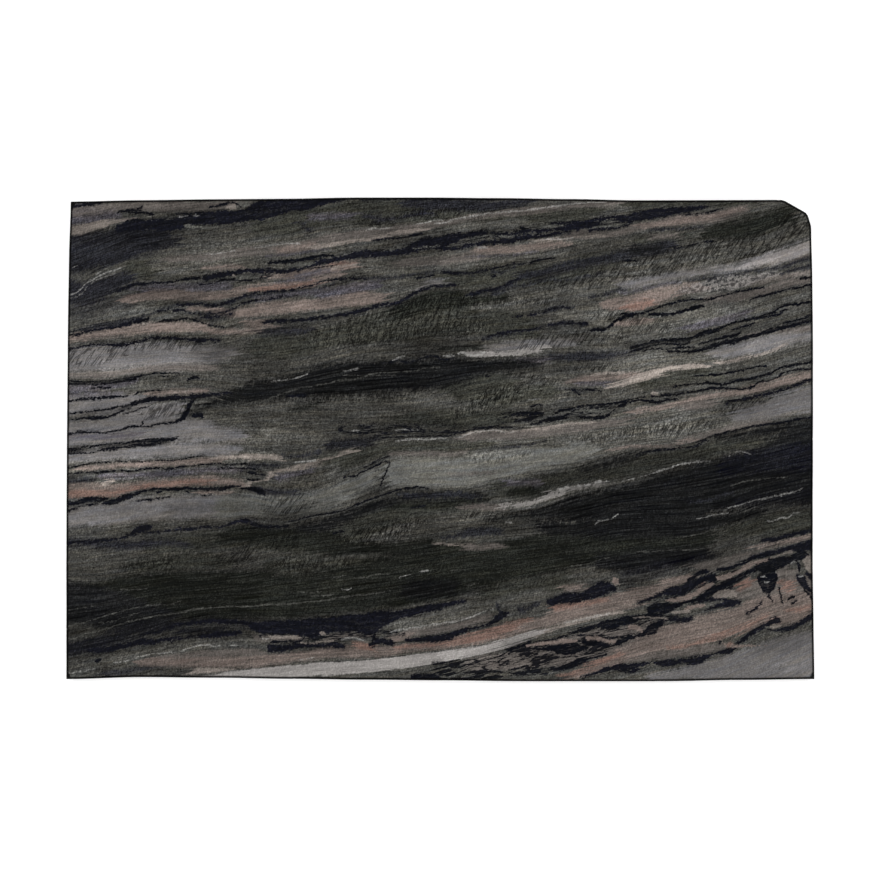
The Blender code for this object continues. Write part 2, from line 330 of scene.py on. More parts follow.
# Bands within the beds, in drawing order.
BANDS = (
    ("beige", 1.4, 0.5, 1.0, (
        "-152 92.5 2, -142 93.5 2, -130 94.8 1.6, -118 95 1.8, -105 94.5 2, -92 95 2, -80 96.5 1.2",
        "-112 73.4 1, -101 73.8 1.3, -90 74.8 1.6, -80 76.3 1.8, -61 77.6 2.2, -47 80.6 2.4, -24 84.2 2,"
        " -17 85 1.9, 14 90.6 1, 46 94 1.4, 56 95.2 1.2, 74 96 .4",
        "-150 26 .7, -140 26.1 .9, -111 29.2 1.2, -100 29.2 1.4, -91 29 .6",
        "-20 71 .8, 0 72.8 1.7, 8 73.6 1.7, 16 75 1.6, 25 76.2 1, 34 76.6 .6",
        "52 83 1, 72 84.4 1.5, 82 86.6 1.3, 101 89.8 2.1, 110 90.3 2.2, 118 92 2, 126 93.8 1.2",
        "84 81.8 .8, 92 82.6 1, 99 83.4 .8",
        "106 55.3 1.2, 126 59 1.6, 135 61.8 1.6, 144 64 1.4, 154 65.6 1.2",
        "143 72.2 .5, 148 74.6 1, 154 76.6 1.5",
        "124 41 .6, 154 46 1",
        "98 13.4 1.4, 106 14.2 1.9, 112 15.2 1.2",
        "8 .4 1, 18 1.6 1.5, 28 1.8 1.8, 38 2.6 2, 48 4 1.8, 58 5 1.8, 68 6.6 1.5, 78 8.6 1.4",
        "-22 -5.9 .5, -10 -5.9 .8, 2 -5.9 .8, 12 -4.6 .5",
        "3 -14.2 .4, 22 -13.2 .6",
        "8 -28 .4, 15 -27.4 1, 22 -27.8 1, 28 -28.3 .6",
        "8 -43.4 .4, 14 -44 1.1, 20 -43.6 1, 26 -42.6 .4",
        "-122 -91 1, -102 -89.8 3, -92 -89.6 3.6, -82 -89.2 3.6, -74 -88.5 3",
        "-76 -80.9 1.2, -61 -81.4 1.3, -55 -81.6 .8",
        "-48 -81.4 1.4, -43 -80.4 1.6, -38 -79.9 1.2, -32 -80 1.1, -28 -80.6 .6",
        "-16 -79.4 1.2, 0 -77.4 1.6, 8 -75.8 1.5, 15 -73.6 1.3, 21 -71.6 .8",
        "102 -52.8 1, 108 -52.2 2, 114 -51 2, 128 -47 1",
        "10 -92.5 2, 20 -91 3, 30 -90 4, 40 -88 5, 50 -86.5 6, 60 -84.5 6, 70 -82 5, 80 -79 4, 90 -76 2",
        "118 -63.5 1.4, 122 -62 3.4, 126 -60.5 4.6, 130 -61.5 4, 134 -62.5 3, 138 -60 4, 142 -58.4 5.4,"
        " 146 -59 4.4, 150 -60 4, 154 -60 5",
        "76 -90 .8, 84 -88.8 1.6, 92 -87.4 2, 108 -85.4 1.8, 114 -84.4 1.4, 118 -83.6 .8",
        "122 -58.6 2, 126 -59.4 4, 130 -62 4.6, 134 -63.6 3.6, 138 -57 5, 142 -57.6 6, 146 -60 5, 150 -62 5,"
        " 154 -62 5",
        "98 -1 .6, 104 .4 .8, 112 3 1, 120 5 1.2, 128 6.6 1, 134 7.4 .6",
        "116 62.4 .6, 124 63.6 1.4, 132 65.4 1.8, 140 66.4 1.2, 150 68 1",
    )),
    ("rose", 1.5, 0.5, 0.95, (
        "-96 69.6 .6, -88 70 1, -80 70.2 .8",
        "-129 56.8 1, -119 58.6 2, -109 59 2, -92 58.4 1.6, -78 61.3 1.3, -53 63.9 1.5, -46 65.4 1.3,"
        " -39 67.4 1",
        "-104 53.2 .8, -96 53.2 1, -88 53 .8",
        "-72 65.8 .8, -63 66.8 1.3, -46 69.4 1.6, -39 70.8 1.6, -33 71.2 1.2",
        "-92 51.5 1, -84 51.4 1.8, -70 53.1 2.4, -62 54 2.5, -47 55.4 2.1, -33 57.2 2.7, -27 57.7 2.3,"
        " -22 57.4 1.2",
        "-80 47.4 1.2, -74 47.4 1.4, -67 46.6 .9",
        "-120 18.4 1, -111 19 1.1, -94 19.8 .5",
        "14 77 1.3, 30 77.3 1.5, 51 79.8 .6",
        "80 86.6 .8, 88 87.4 1.3, 104 90 1.6, 112 91.2 1.2, 119 93.2 1, 125 94 .6",
        "66 55 1, 72 55.4 2.4, 78 56 3.4, 84 57.5 3.5, 96 60.8 2.5, 102 62 2, 108 62.4 1.4",
        "70 47.2 .6, 75 47.4 1, 81 48 1, 87 48.9 .6",
        "51 23.8 .4, 62 25 1.2, 69 25.3 1.3, 75 25.8 1, 80 26.6 .5",
        "76 10.8 .6, 82 12 1, 89 12.7 1, 95 14.3 .8, 102 16.2 1, 126 19.9 1.5, 134 21.6 1.8, 142 24.2 1.8,"
        " 154 27.4 1.5",
        "-148 -12 .6, -129 -10.4 1, -103 -9.4 1.1, -95 -8.6 1.2, -87 -8.2 1.3",
        "-152 -20.8 2.6, -144 -20.8 2.8, -136 -21 2.6, -120 -18.4 1.6, -111 -18 1.6, -93 -16.8 1.9,"
        " -85 -17.4 1.4, -78 -18.4 1.1",
        "-99 -21.6 .4, -92 -21.8 .7, -84 -21.8 .5",
        "70 -4.4 .5, 85 -2.9 .5, 93 -3 .4, 105 0 .5",
        "126 -44.4 .6, 132 -43.6 1, 138 -42.2 1.2, 154 -38.2 1",
        "-80 -90.8 1.8, -70 -89.8 2.2, -53 -88.2 1.9, -37 -86.4 2.4, -28 -86.4 2.3, -19 -86 2, -10 -84.8 1.6,"
        " 8 -82.6 2, 22 -79.7 2.3, 38 -75.4 2.2, 46 -72.6 3, 62 -68.8 3.6, 78 -65 3.8, 86 -62.2 2.6,"
        " 93 -59.2 2, 100 -56.8 1.8, 104 -55.6 1",
        "-22 -82 1.4, -16 -80.2 1, -10 -79.2 .7",
        "50 -60.8 .7, 55 -60.5 1.1, 60 -59.6 .8",
        "54 -96 1.2, 60 -94.4 1.7, 66 -92 2.2, 78 -86 3.6, 85 -83.3 3.8, 93 -80.8 4.4, 109 -77.4 5.8,"
        " 117 -75.2 5.8, 132 -70 5.6, 139 -69.4 6.4, 146 -68.6 6.4, 154 -67.4 5.6",
        "104 -61.4 .7, 108 -59.8 1, 112 -58.6 .7",
        "-124 -91 1, -112 -90.8 1.6, -90 -91 2, -80 -90.8 1.8",
        "-68 77 .6, -62 77.4 1.2, -56 78.6 1.2, -50 79.4 .8",
        "-152 40.4 1.4, -145 42 1.8, -121 45.1 2.2, -113 45.7 2.2, -105 45.9 2.2, -97 45.4 1.6, -91 44 1,"
        " -85 43.8 .9, -72 46 .8",
    )),
    ("salmon", 1.4, 0.6, 0.8, (
        "-45 70.8 .6, -40 71.2 .9, -35 71.2 1",
        "74 53.6 1.2, 80 54.6 1.6, 86 56 1.2",
        "-152 -22.2 1.4, -145 -22 1.5, -138 -22.3 1.3, -131 -21.2 .9, -124 -19.6 .7, -100 -17.4 1,"
        " -92 -17.2 .8",
        "-36 -84 1.3, -31 -84.3 1.5, -26 -85.4 1",
        "-20 -84.8 .8, -10 -84.2 .9, 0 -83.2 1, 8 -82.2 1.4, 15 -80.8 1.8, 22 -79.3 1.8, 29 -77.2 1.3,"
        " 33 -75.6 .8",
        "90 -85 .5, 109 -81.6 .7, 124 -76.4 .9, 130 -73 1.1, 135 -70.8 .9",
        "116 -84.3 .8, 119 -83.4 .8",
        "142 -70 .8, 147 -69.4 1, 152 -68 1",
        "27 -76 1, 32 -75.2 .9",
        "-78 60.6 .6, -70 61.6 1, -54 63.2 .8, -48 64.6 .5",
        "16 -78.6 .6, 24 -77 1.4, 31 -75.2 1.4, 37 -73.6 .8",
        "44 -69.4 .6, 52 -68 1.2, 60 -66.4 1.2, 68 -64.6 .8",
        "121 -60.6 .8, 125 -58.8 2, 128.6 -57.8 1.4",
        "138.4 -59.4 1.2, 141 -59.6 2.6, 143.6 -60 2.4",
        "104.4 -60.8 .6, 107 -59.8 1, 109.4 -59 .5",
        "50 -96.6 .6, 62 -92 1, 68 -89.4 .9, 75 -87.2 .7",
    )),
    ("shell", 0.9, 0.6, 0.88, (
        "-154 83.8 1.8, -147 85.2 1.8, -140 87 1.71, -135 88.3 1.26, -130 89.2 .81, -124 89.8 .36",
        "-55 77.6 .26, -48 78.6 .65, -27 82 .65, -21 82.8 .52",
        "-20 83.6 .45, -12 84.8 .75, -4 85.6 .6",
        "36 80 .3, 46 81.5 .6, 60 82.3 .4, 68 83.1 .4",
        "112 31.3 .4, 116 31.4 .5, 131 35.2 .4, 137 37.1 .5, 143 38.9 .1",
        "67 20.2 .16, 75 23.1 1.25, 78 24.5 1.56, 86 26.8 1.72, 93 28.7 1.25, 97 29.1 .94, 102 29.9 1.09,"
        " 106 30 .78, 110 29.5 .16",
        "62 26 .2, 68 26.9 .4, 74 27 .3",
        "9 2 .3, 14 2.9 .5, 22 3.6 .4, 26 3.1 .3, 41 4.5 .4, 56 6.4 .4, 62 6.8 .2",
        "-80 -19 .4, -77 -18.4 .8, -69 -14.9 .5, -62 -12.4 .6, -54 -10.4 .5, -37 -4.8 .6, -34 -3.4 .4",
        "-137.6 -16.4 .3, -135.2 -18.4 1.5, -134 -17.4 1.1, -133 -16.4 .4",
        "-2 -42.3 .1, 5 -42.8 .3, 8 -43.4 .2",
        "-104 -95 .4, -98 -94.4 1, -92 -94 .8, -86 -93.8 .3",
        "-46 69.4 .2, -41 70.4 .45, -36 71 .55, -33 71.2 .3",
        "36 -80 .6, 42 -78.4 1, 54 -74.6 .8, 61 -72.8 .8, 69 -71.2 .7, 76 -70.6 .5",
        "-92 -7.6 .4, -84 -7.2 .8, -76 -7.2 .9, -70 -7.5 .7, -64 -8.6 .3",
    )),
    ("quartz", 0.5, 0.5, 1.0, (
        "-100 -97.6 .4, -83 -96.1 1.8, -65 -94.8 2.4, -25 -92.1 2.5, 3 -88.5 2.3, 18 -85.5 1.8, 31 -81.8 1.5,"
        " 43 -78.4 .5",
    )),
    ("quartz", 0.9, 1.4, 0.72, (
        "24 -28 .3, 28 -27.3 .8, 36 -26.3 1.1, 50 -22.6 .4",
        "44 -22 .5, 48 -21 .8, 60 -19 .7, 68 -17.2 .3",
    )),
    ("quartz", 0.7, 1.5, 0.95, (
        "8 35.4 .6, 12 34.9 1.1, 17 34.7 1.2, 22 34.8 .8, 27 34.8 .9, 32 35.4 1, 36 36.2 1.5, 40 36.8 1.4,"
        " 44 37.4 .6",
    )),
)

# Parts of the beds that are darker or paler than the rest: gain, softness of the edge, raggedness, strokes.
SHADES = (
    (0.6, 7.0, 0.3, (
        "-154 84 3, -140 85 4, -128 84 5, -104 86 4, -94 88 3",
        "-128 60 2, -104 61 3, -94 60 2",
        "-40 76 2, -30 79 3, -18 81 4, 6 84 2",
        "50 84 2, 60 84 4, 70 85 3",
        "-64 68 1, -56 68 2, -50 68 1",
        "-96 34 2, -88 35 4, -80 35 4, -72 33 3",
        "-36 36 2, -28 36 3, -16 37 6, -4 38 7, 8 38 5, 18 36 2",
        "-78 27 2, -70 29 4, -62 29 3",
        "-50 20 3, -30 18.5 4, -18 18 3",
        "-106 12 1, -98 12 4, -78 9 5, -70 9 4, -58 10 5, -46 8 8, -22 7 8, -10 7 7, 2 5 5, 10 5 2",
        "-72 -4 2, -60 -4 4, -48 -3 4, -36 -4 3, -26 -3 2",
        "-62 -14 1, -54 -14 3, -46 -12 1",
        "-38 -21 1, -30 -22 3, -22 -21 2",
        "-112 -28 2, -88 -28 4, -64 -29 5, -52 -28 5, -42 -27 3",
        "-125 -36 3, -95 -38 4, -80 -38 5, -70 -37 5, -58 -37 3",
        "-38 -36 3, -28 -36 4, -4 -37 4, 10 -37 3, 32 -36 5, 40 -34 3",
        "-100 -44 3, -88 -44 4, -78 -44 3",
        "-34 -44 3, -10 -45 4, 0 -46 3",
        "36 -44 2, 52 -47 3, 60 -50 3",
        "-154 -53 6, -130 -53 5, -106 -53 4, -82 -52 6, -58 -52 4, -48 -50 2",
        "-154 -64 8, -125 -63 9, -95 -64 10, -82 -64 7, -74 -63 3",
        "-154 -78 8, -144 -79 9, -108 -76 6, -84 -76 6, -60 -74 4, -36 -73 4, -28 -72 3",
        "-154 -90 4, -144 -90 4, -134 -88 3",
        "-38 -60 3, -28 -61 5, -4 -62 5, 8 -62 4, 20 -60 3",
        "34 -17 2, 54 -17 5, 74 -13 6, 94 -9 6, 104 -7 5, 112 -6 3",
        "110 -29 2, 120 -30 4, 144 -28 5, 154 -27 5",
        "110 -42 3, 118 -45 5, 126 -46 3",
        "96 -51 2, 106 -52 4, 116 -52 3",
        "74 -60 2, 82 -61 3, 90 -60 2",
        "112 12 2, 120 12 3, 128 13 2",
        "46 28 2, 56 28 3, 64 30 1",
        "110 92 2, 119 91 4, 128 90 3",
        "112 77 2, 119 77 3, 126 78 2",
        "12 -68 2, 20 -68 3, 28 -68 2",
        "26 -84 2, 32 -84 3, 40 -84 2",
        "-62 -84 2, -54 -84 3, -44 -84 3, -36 -84 1",
    )),
    (0.6, 7.0, 0.3, (
        "-154 -76 6, -144 -77 7, -120 -75 5, -96 -76 5, -72 -75 3",
        "-24 37 1, -16 38 3, -6 38 4, 4 38 2",
        "-72 -29 1, -62 -30 3, -52 -30 2",
        "-114 92.6 1.6, -104 92 3, -94 92 3, -86 91.6 1.6",
        "-24 75.6 1.4, -14 76 3, -4 77 3, 4 78 1.4",
        "-36 20.6 1.2, -29 21 2.4, -22 21.6 1.2",
        "48 -27.4 1.2, 56 -27.6 2.6, 63 -27 1.2",
    )),
    (1.36, 6.0, 0.3, (
        "-154 51 2, -142 52 4, -130 52 4, -120 51 2",
        "-154 42 4, -118 45 4, -106 45 4, -96 45 2",
        "-138 28 2, -130 28 3, -106 29 3, -96 29 1",
        "-154 -12 3, -128 -12 4, -118 -12 3",
        "-88 -10 1, -82 -10 3, -76 -10 2",
        "-62 52 1, -56 52 3, -50 53 1",
        "0 69 2, 14 68 4, 32 67 2",
        "50 52 2, 58 51 4, 78 51 3",
        "64 36 2, 72 35 5, 96 33 6, 108 34 5, 116 34 3",
        "72 28 2, 82 28 4, 106 28 5, 118 28 3",
        "124 36 2, 132 37 5, 144 37 5, 154 37 4",
        "136 28 2, 154 28 4",
        "24 20 2, 32 20 4, 44 20 4, 52 20 2",
        "100 20 2, 118 20 4, 128 20 2",
        "74 12 2, 82 12 3, 94 12 3, 104 12 2",
        "36 4 2, 44 4 4, 56 4 2, 80 4 5, 92 4 5, 104 4 3",
        "0 -4 3, 8 -4 4, 18 -4 4, 26 -4 2",
        "114 68 2, 120 68 4, 126 69 2",
        "140 68 2, 146 68 3, 154 68 3",
        "76 60 2, 84 60 4, 96 60 3, 106 60 4, 114 60 2",
        "86 50 2, 96 50 4, 108 51 5, 118 50 2",
        "126 -4 2, 134 -4 6, 146 -2 8, 154 -1 8",
        "0 28 1, 8 28 3, 20 28 3, 28 28 1",
    )),
    (0.78, 7.0, 0.3, (
        "-112 93 2, -102 92 4, -90 92 4, -78 92 2",
        "-100 84 3, -88 84 5, -76 84 4",
        "-26 76 2, -18 76 4, -8 76 4, 0 76 2",
        "50 76 2, 58 76 4, 68 76 4, 76 77 2",
        "-154 68 4, -142 68 4, -134 67 2",
        "-138 60 3, -126 60 4, -98 60 4, -84 60 2",
        "26 60 2, 34 60 4, 44 60 5, 56 60 5, 64 60 2",
        "124 60 2, 132 60 4, 140 60 2",
        "-154 51 5, -144 51 5, -136 52 3",
        "-76 44 2, -68 44 4, -60 44 2",
        "36 44 2, 44 44 4, 56 44 5, 62 44 3",
        "-102 36 2, -94 36 4, -86 35 3",
        "36 34 2, 44 34 4, 52 33 3",
        "-38 28 2, -30 28 4, -22 28 3, -10 28 3",
        "26 28 2, 34 28 4, 44 28 4, 50 28 2",
        "124 12 2, 131 12.4 4, 138 13 2",
        "-124 -20 2, -119 -20 3, -112 -21 1",
        "-138 -28 1, -131 -28 3, -122 -28 1",
        "-38 -20 2, -31 -20 4, -22 -20 3",
        "52 -20 2, 58 -20 4, 68 -20 5, 76 -20 2",
        "48 -28 2, 56 -28 4, 64 -28 2",
        "136 -28 2, 144 -28 4, 154 -28 4",
        "112 -36 2, 119 -36 4, 131 -36 4, 138 -36 2",
        "-50 -44 2, -44 -44 4, -31 -44 4, -22 -44 2",
        "36 -53 3, 44 -52 5, 56 -52 5, 64 -52 2",
        "62 -68 2, 69 -68 3, 76 -68 2",
        "136 -76 2, 144 -76 4, 154 -76 4",
        "124 -84 2, 131 -84 4, 154 -84 5",
        "-128 -84 2, -119 -84 3, -110 -84 2",
        "-124 -92 2, -112 -93 3, -80 -92 3",
        "-26 76 3, -16 77 4, -6 78 3",
        "-30 20 2, -22 20 3, -12 20 2",
        "-40 -20 2, -31 -20 3",
        "112 60 1.4, 119 60 3, 126 61 1.4",
        "24 36.4 1.2, 31 36.6 2.4, 38 37 1.2",
        "-24 4 1, -18 4.2 2, -12 4.4 1",
        "-24 -20 1.2, -18 -19.6 2.4, -12 -19.4 1.2",
        "62 -20 1.2, 69 -19.6 2.4, 76 -19 1.2",
        "124 -28 1.4, 131 -28 3, 138 -27 1.4",
        "76 -61 1.2, 82 -60 2.4, 88 -58 1.2",
        "-12 -92 1.2, -5 -91.4 2.6, 1 -90.6 1.2",
    )),
    (1.25, 6.0, 0.3, (
        "-138 28 2, -131 28 3, -122 28 2",
        "88 28 2, 96 28 4, 108 28 4, 116 28 2",
        "-154 20 4, -130 20 4, -116 21 3",
        "-74 4 2, -69 4 4, -62 4 2",
        "-154 -5 4, -130 -4 4, -106 -4 3",
        "-154 -13 2, -128 -12 2, -118 -12 2",
        "-86 -12 2, -81 -12 3, -76 -12 2",
        "-12 -12 3, -4 -12 4, 6 -12 4, 14 -12 3",
        "2 -92 2, 8 -92 4, 14 -92 2",
        "76 -92 2, 82 -92 3, 88 -92 2",
        "138 -92 2, 146 -92 4, 154 -92 4",
        "116 37 2, 122 36 3, 130 36 2",
        "100 78 2, 110 78 3, 120 77 2",
        "60 93 2, 69 93 3, 78 93 2",
        "74 77 2, 81 77 3, 88 77 2",
        "8 22 2, 18 21 4, 30 20 3",
        "86 44 2, 94 44 3, 102 44 2",
        "-118 -4 2, -108 -4 3, -96 -4 3",
        "124 70 1, 132 68 3, 154 68 3",
        "0 -92 4, 8 -92 5, 32 -92 3",
        "-90 -12 2, -81 -12 3, -74 -12 2",
        "140 4 2, 146 4 3, 154 4 3",
        "64 92.6 1.4, 70 92.6 2.6, 76 92.6 1.4",
        "110 84 1.6, 119 84.4 3.6, 128 85 1.8",
        "76 68 1.4, 82 68 2.4, 88 68 1.4",
        "126 67 1.4, 132 68 2.4, 138 69 1.4",
        "-72 52 1.6, -62 52.6 2.6, -54 53 1.6",
        "12 43.6 1.6, 22 44 3, 34 44.6 1.6",
        "-86 36 1.4, -80 36 2.6, -74 36 1.4",
        "-112 20 1.4, -105 20 2.4, -98 20 1.4",
        "12 20 1.4, 19 20.4 3, 26 21 1.4",
        "38 12.4 .8, 45 12.6 1.8, 52 13 .8",
        "-74 4 1.2, -68 4.2 2.4, -60 4.6 1.2",
        "112 4 1.2, 119 4.6 2.4, 126 5 1.2",
        "-126 -4 2, -119 -4 3.6, -110 -4 2",
        "62 -4 1.2, 69 -4 2.4, 76 -4 1.2",
        "-124 -12 1.2, -118 -12 2.6, -112 -12 1.2",
        "-88 -12 1.2, -82 -12 2.6, -76 -12 1.2",
        "4 -93.6 2.4, 14 -93 3.4, 26 -92 3, 36 -91 1.6",
        "76 -91 1.2, 81 -90.6 3, 86 -90 1.2",
    )),
)

# Soft dark bands between the beds.
SMEARS = (
    ("slate", 1.2, 1.1, 0.9, (
        "1 68.8 .46, 5 67.8 .57, 9 67.4 .69, 17 68.5 .57, 20 69.6 .34",
        "20 67.8 .34, 24 67.6 .69, 28 69 .57, 31 70.6 .34",
        "12 59.4 .69, 22 61.2 .69, 25 61.8 .92, 28 63.4 1.15, 31 64.5 .92, 34 66.2 .92, 42 68.5 .57,"
        " 50 71.1 .92, 65 74 .69, 70 74.7 .57, 76 75.1 .46",
        "20 60.3 .57, 23 59.6 1.15, 26 61 .57, 31 62.4 .46, 36 62.9 .57, 44 65.1 .46, 54 65.4 .46,"
        " 58 66.2 .69, 63 66.7 .46, 68 68.2 .34",
        "37 50.8 .46, 46 52.9 .8, 50 53.6 .69, 55 53.8 .34",
        "60 57.6 .34, 65 58.6 .69, 76 60.8 .57",
        "17 40.8 .69, 20 41.3 .8, 24 42.5 .69, 38 44.6 .46, 41 45 .23",
        "44 47 .34, 48 47.3 .92, 53 47.4 1.03, 58 47 .8, 61 47 .23",
        "50 33.2 .69, 60 33.9 1.38, 65 33.6 .92, 69 33 .46",
        "-18 -22.3 .46, -12 -23 .92, -6 -23.2 .92, 5 -22.5 1.15, 9 -22.7 1.15, 17 -23.8 .23",
        "0 -40.2 .69, 9 -38.9 1.03, 12 -38 1.49, 16 -37.7 1.72, 20 -37.4 1.61, 27 -37.4 .23",
        "100 -26 .23, 110 -24.6 .46, 120 -22 .69",
        "-80 -10.2 .46, -76 -10.6 .92, -69 -10.8 .92, -65.5 -11 .46",
        "-65 -6.4 .34, -62 -6.9 .57, -59 -7 .34, -53 -6.1 1.03, -50 -5.6 1.03, -48 -5.3 .34",
        "-122 50.6 .34, -112 53.3 .46, -107 54.9 .46, -101 55.3 .57, -92 54.8 .69, -88 55 .57, -84 56.1 .69,"
        " -80 57.9 .57, -76 58.8 .46, -60 60.2 .46, -45 63 .34, -42 63.9 .11",
        "31 -68.8 .5, 33 -69.6 1.5, 35 -69.3 1.1, 38 -67.6 1, 41 -66.4 .6",
        "22.4 -67.5 .8, 23.6 -69 1.6, 25 -71 1.2",
        "100 64.4 .4, 112 65.8 .7, 130 69 .7, 141 70.8 .8, 146 72.6 .9, 154 74.6 .9",
        "138 67.4 .4, 142 68.6 .9, 154 71.6 1.4",
        "84 84.8 .3, 100 85.8 .5, 108 86.4 .3",
        "-150 43.8 .6, -140 46.2 1.2, -130 47.6 1.6, -121 49 .8",
        "20 -3 .15, 26 -3.3 .3, 32 -2.9 .3, 38 -2 .35, 44 -.5 .15",
        "-32 65.4 .3, -22 65.6 .5, -12 66.8 .6, -2 68.4 .4",
    )),
    ("lilac", 1.0, 0.9, 0.8, (
        "-68 64.2 .3, -60 64.8 .5, -52 65.2 .3",
        "-60 66.4 .3, -55 67.2 .8, -44 68.8 .3",
        "-104 60.6 .3, -94 61 .5, -84 62 .3",
        "72 59.6 .5, 80 60.6 .6, 98 64 .6",
        "10 74.4 .2, 30 75.2 .4, 40 76.6 .3",
        "-72 74.6 .2, -62 75.4 .5, -44 77.2 .2",
    )),
)

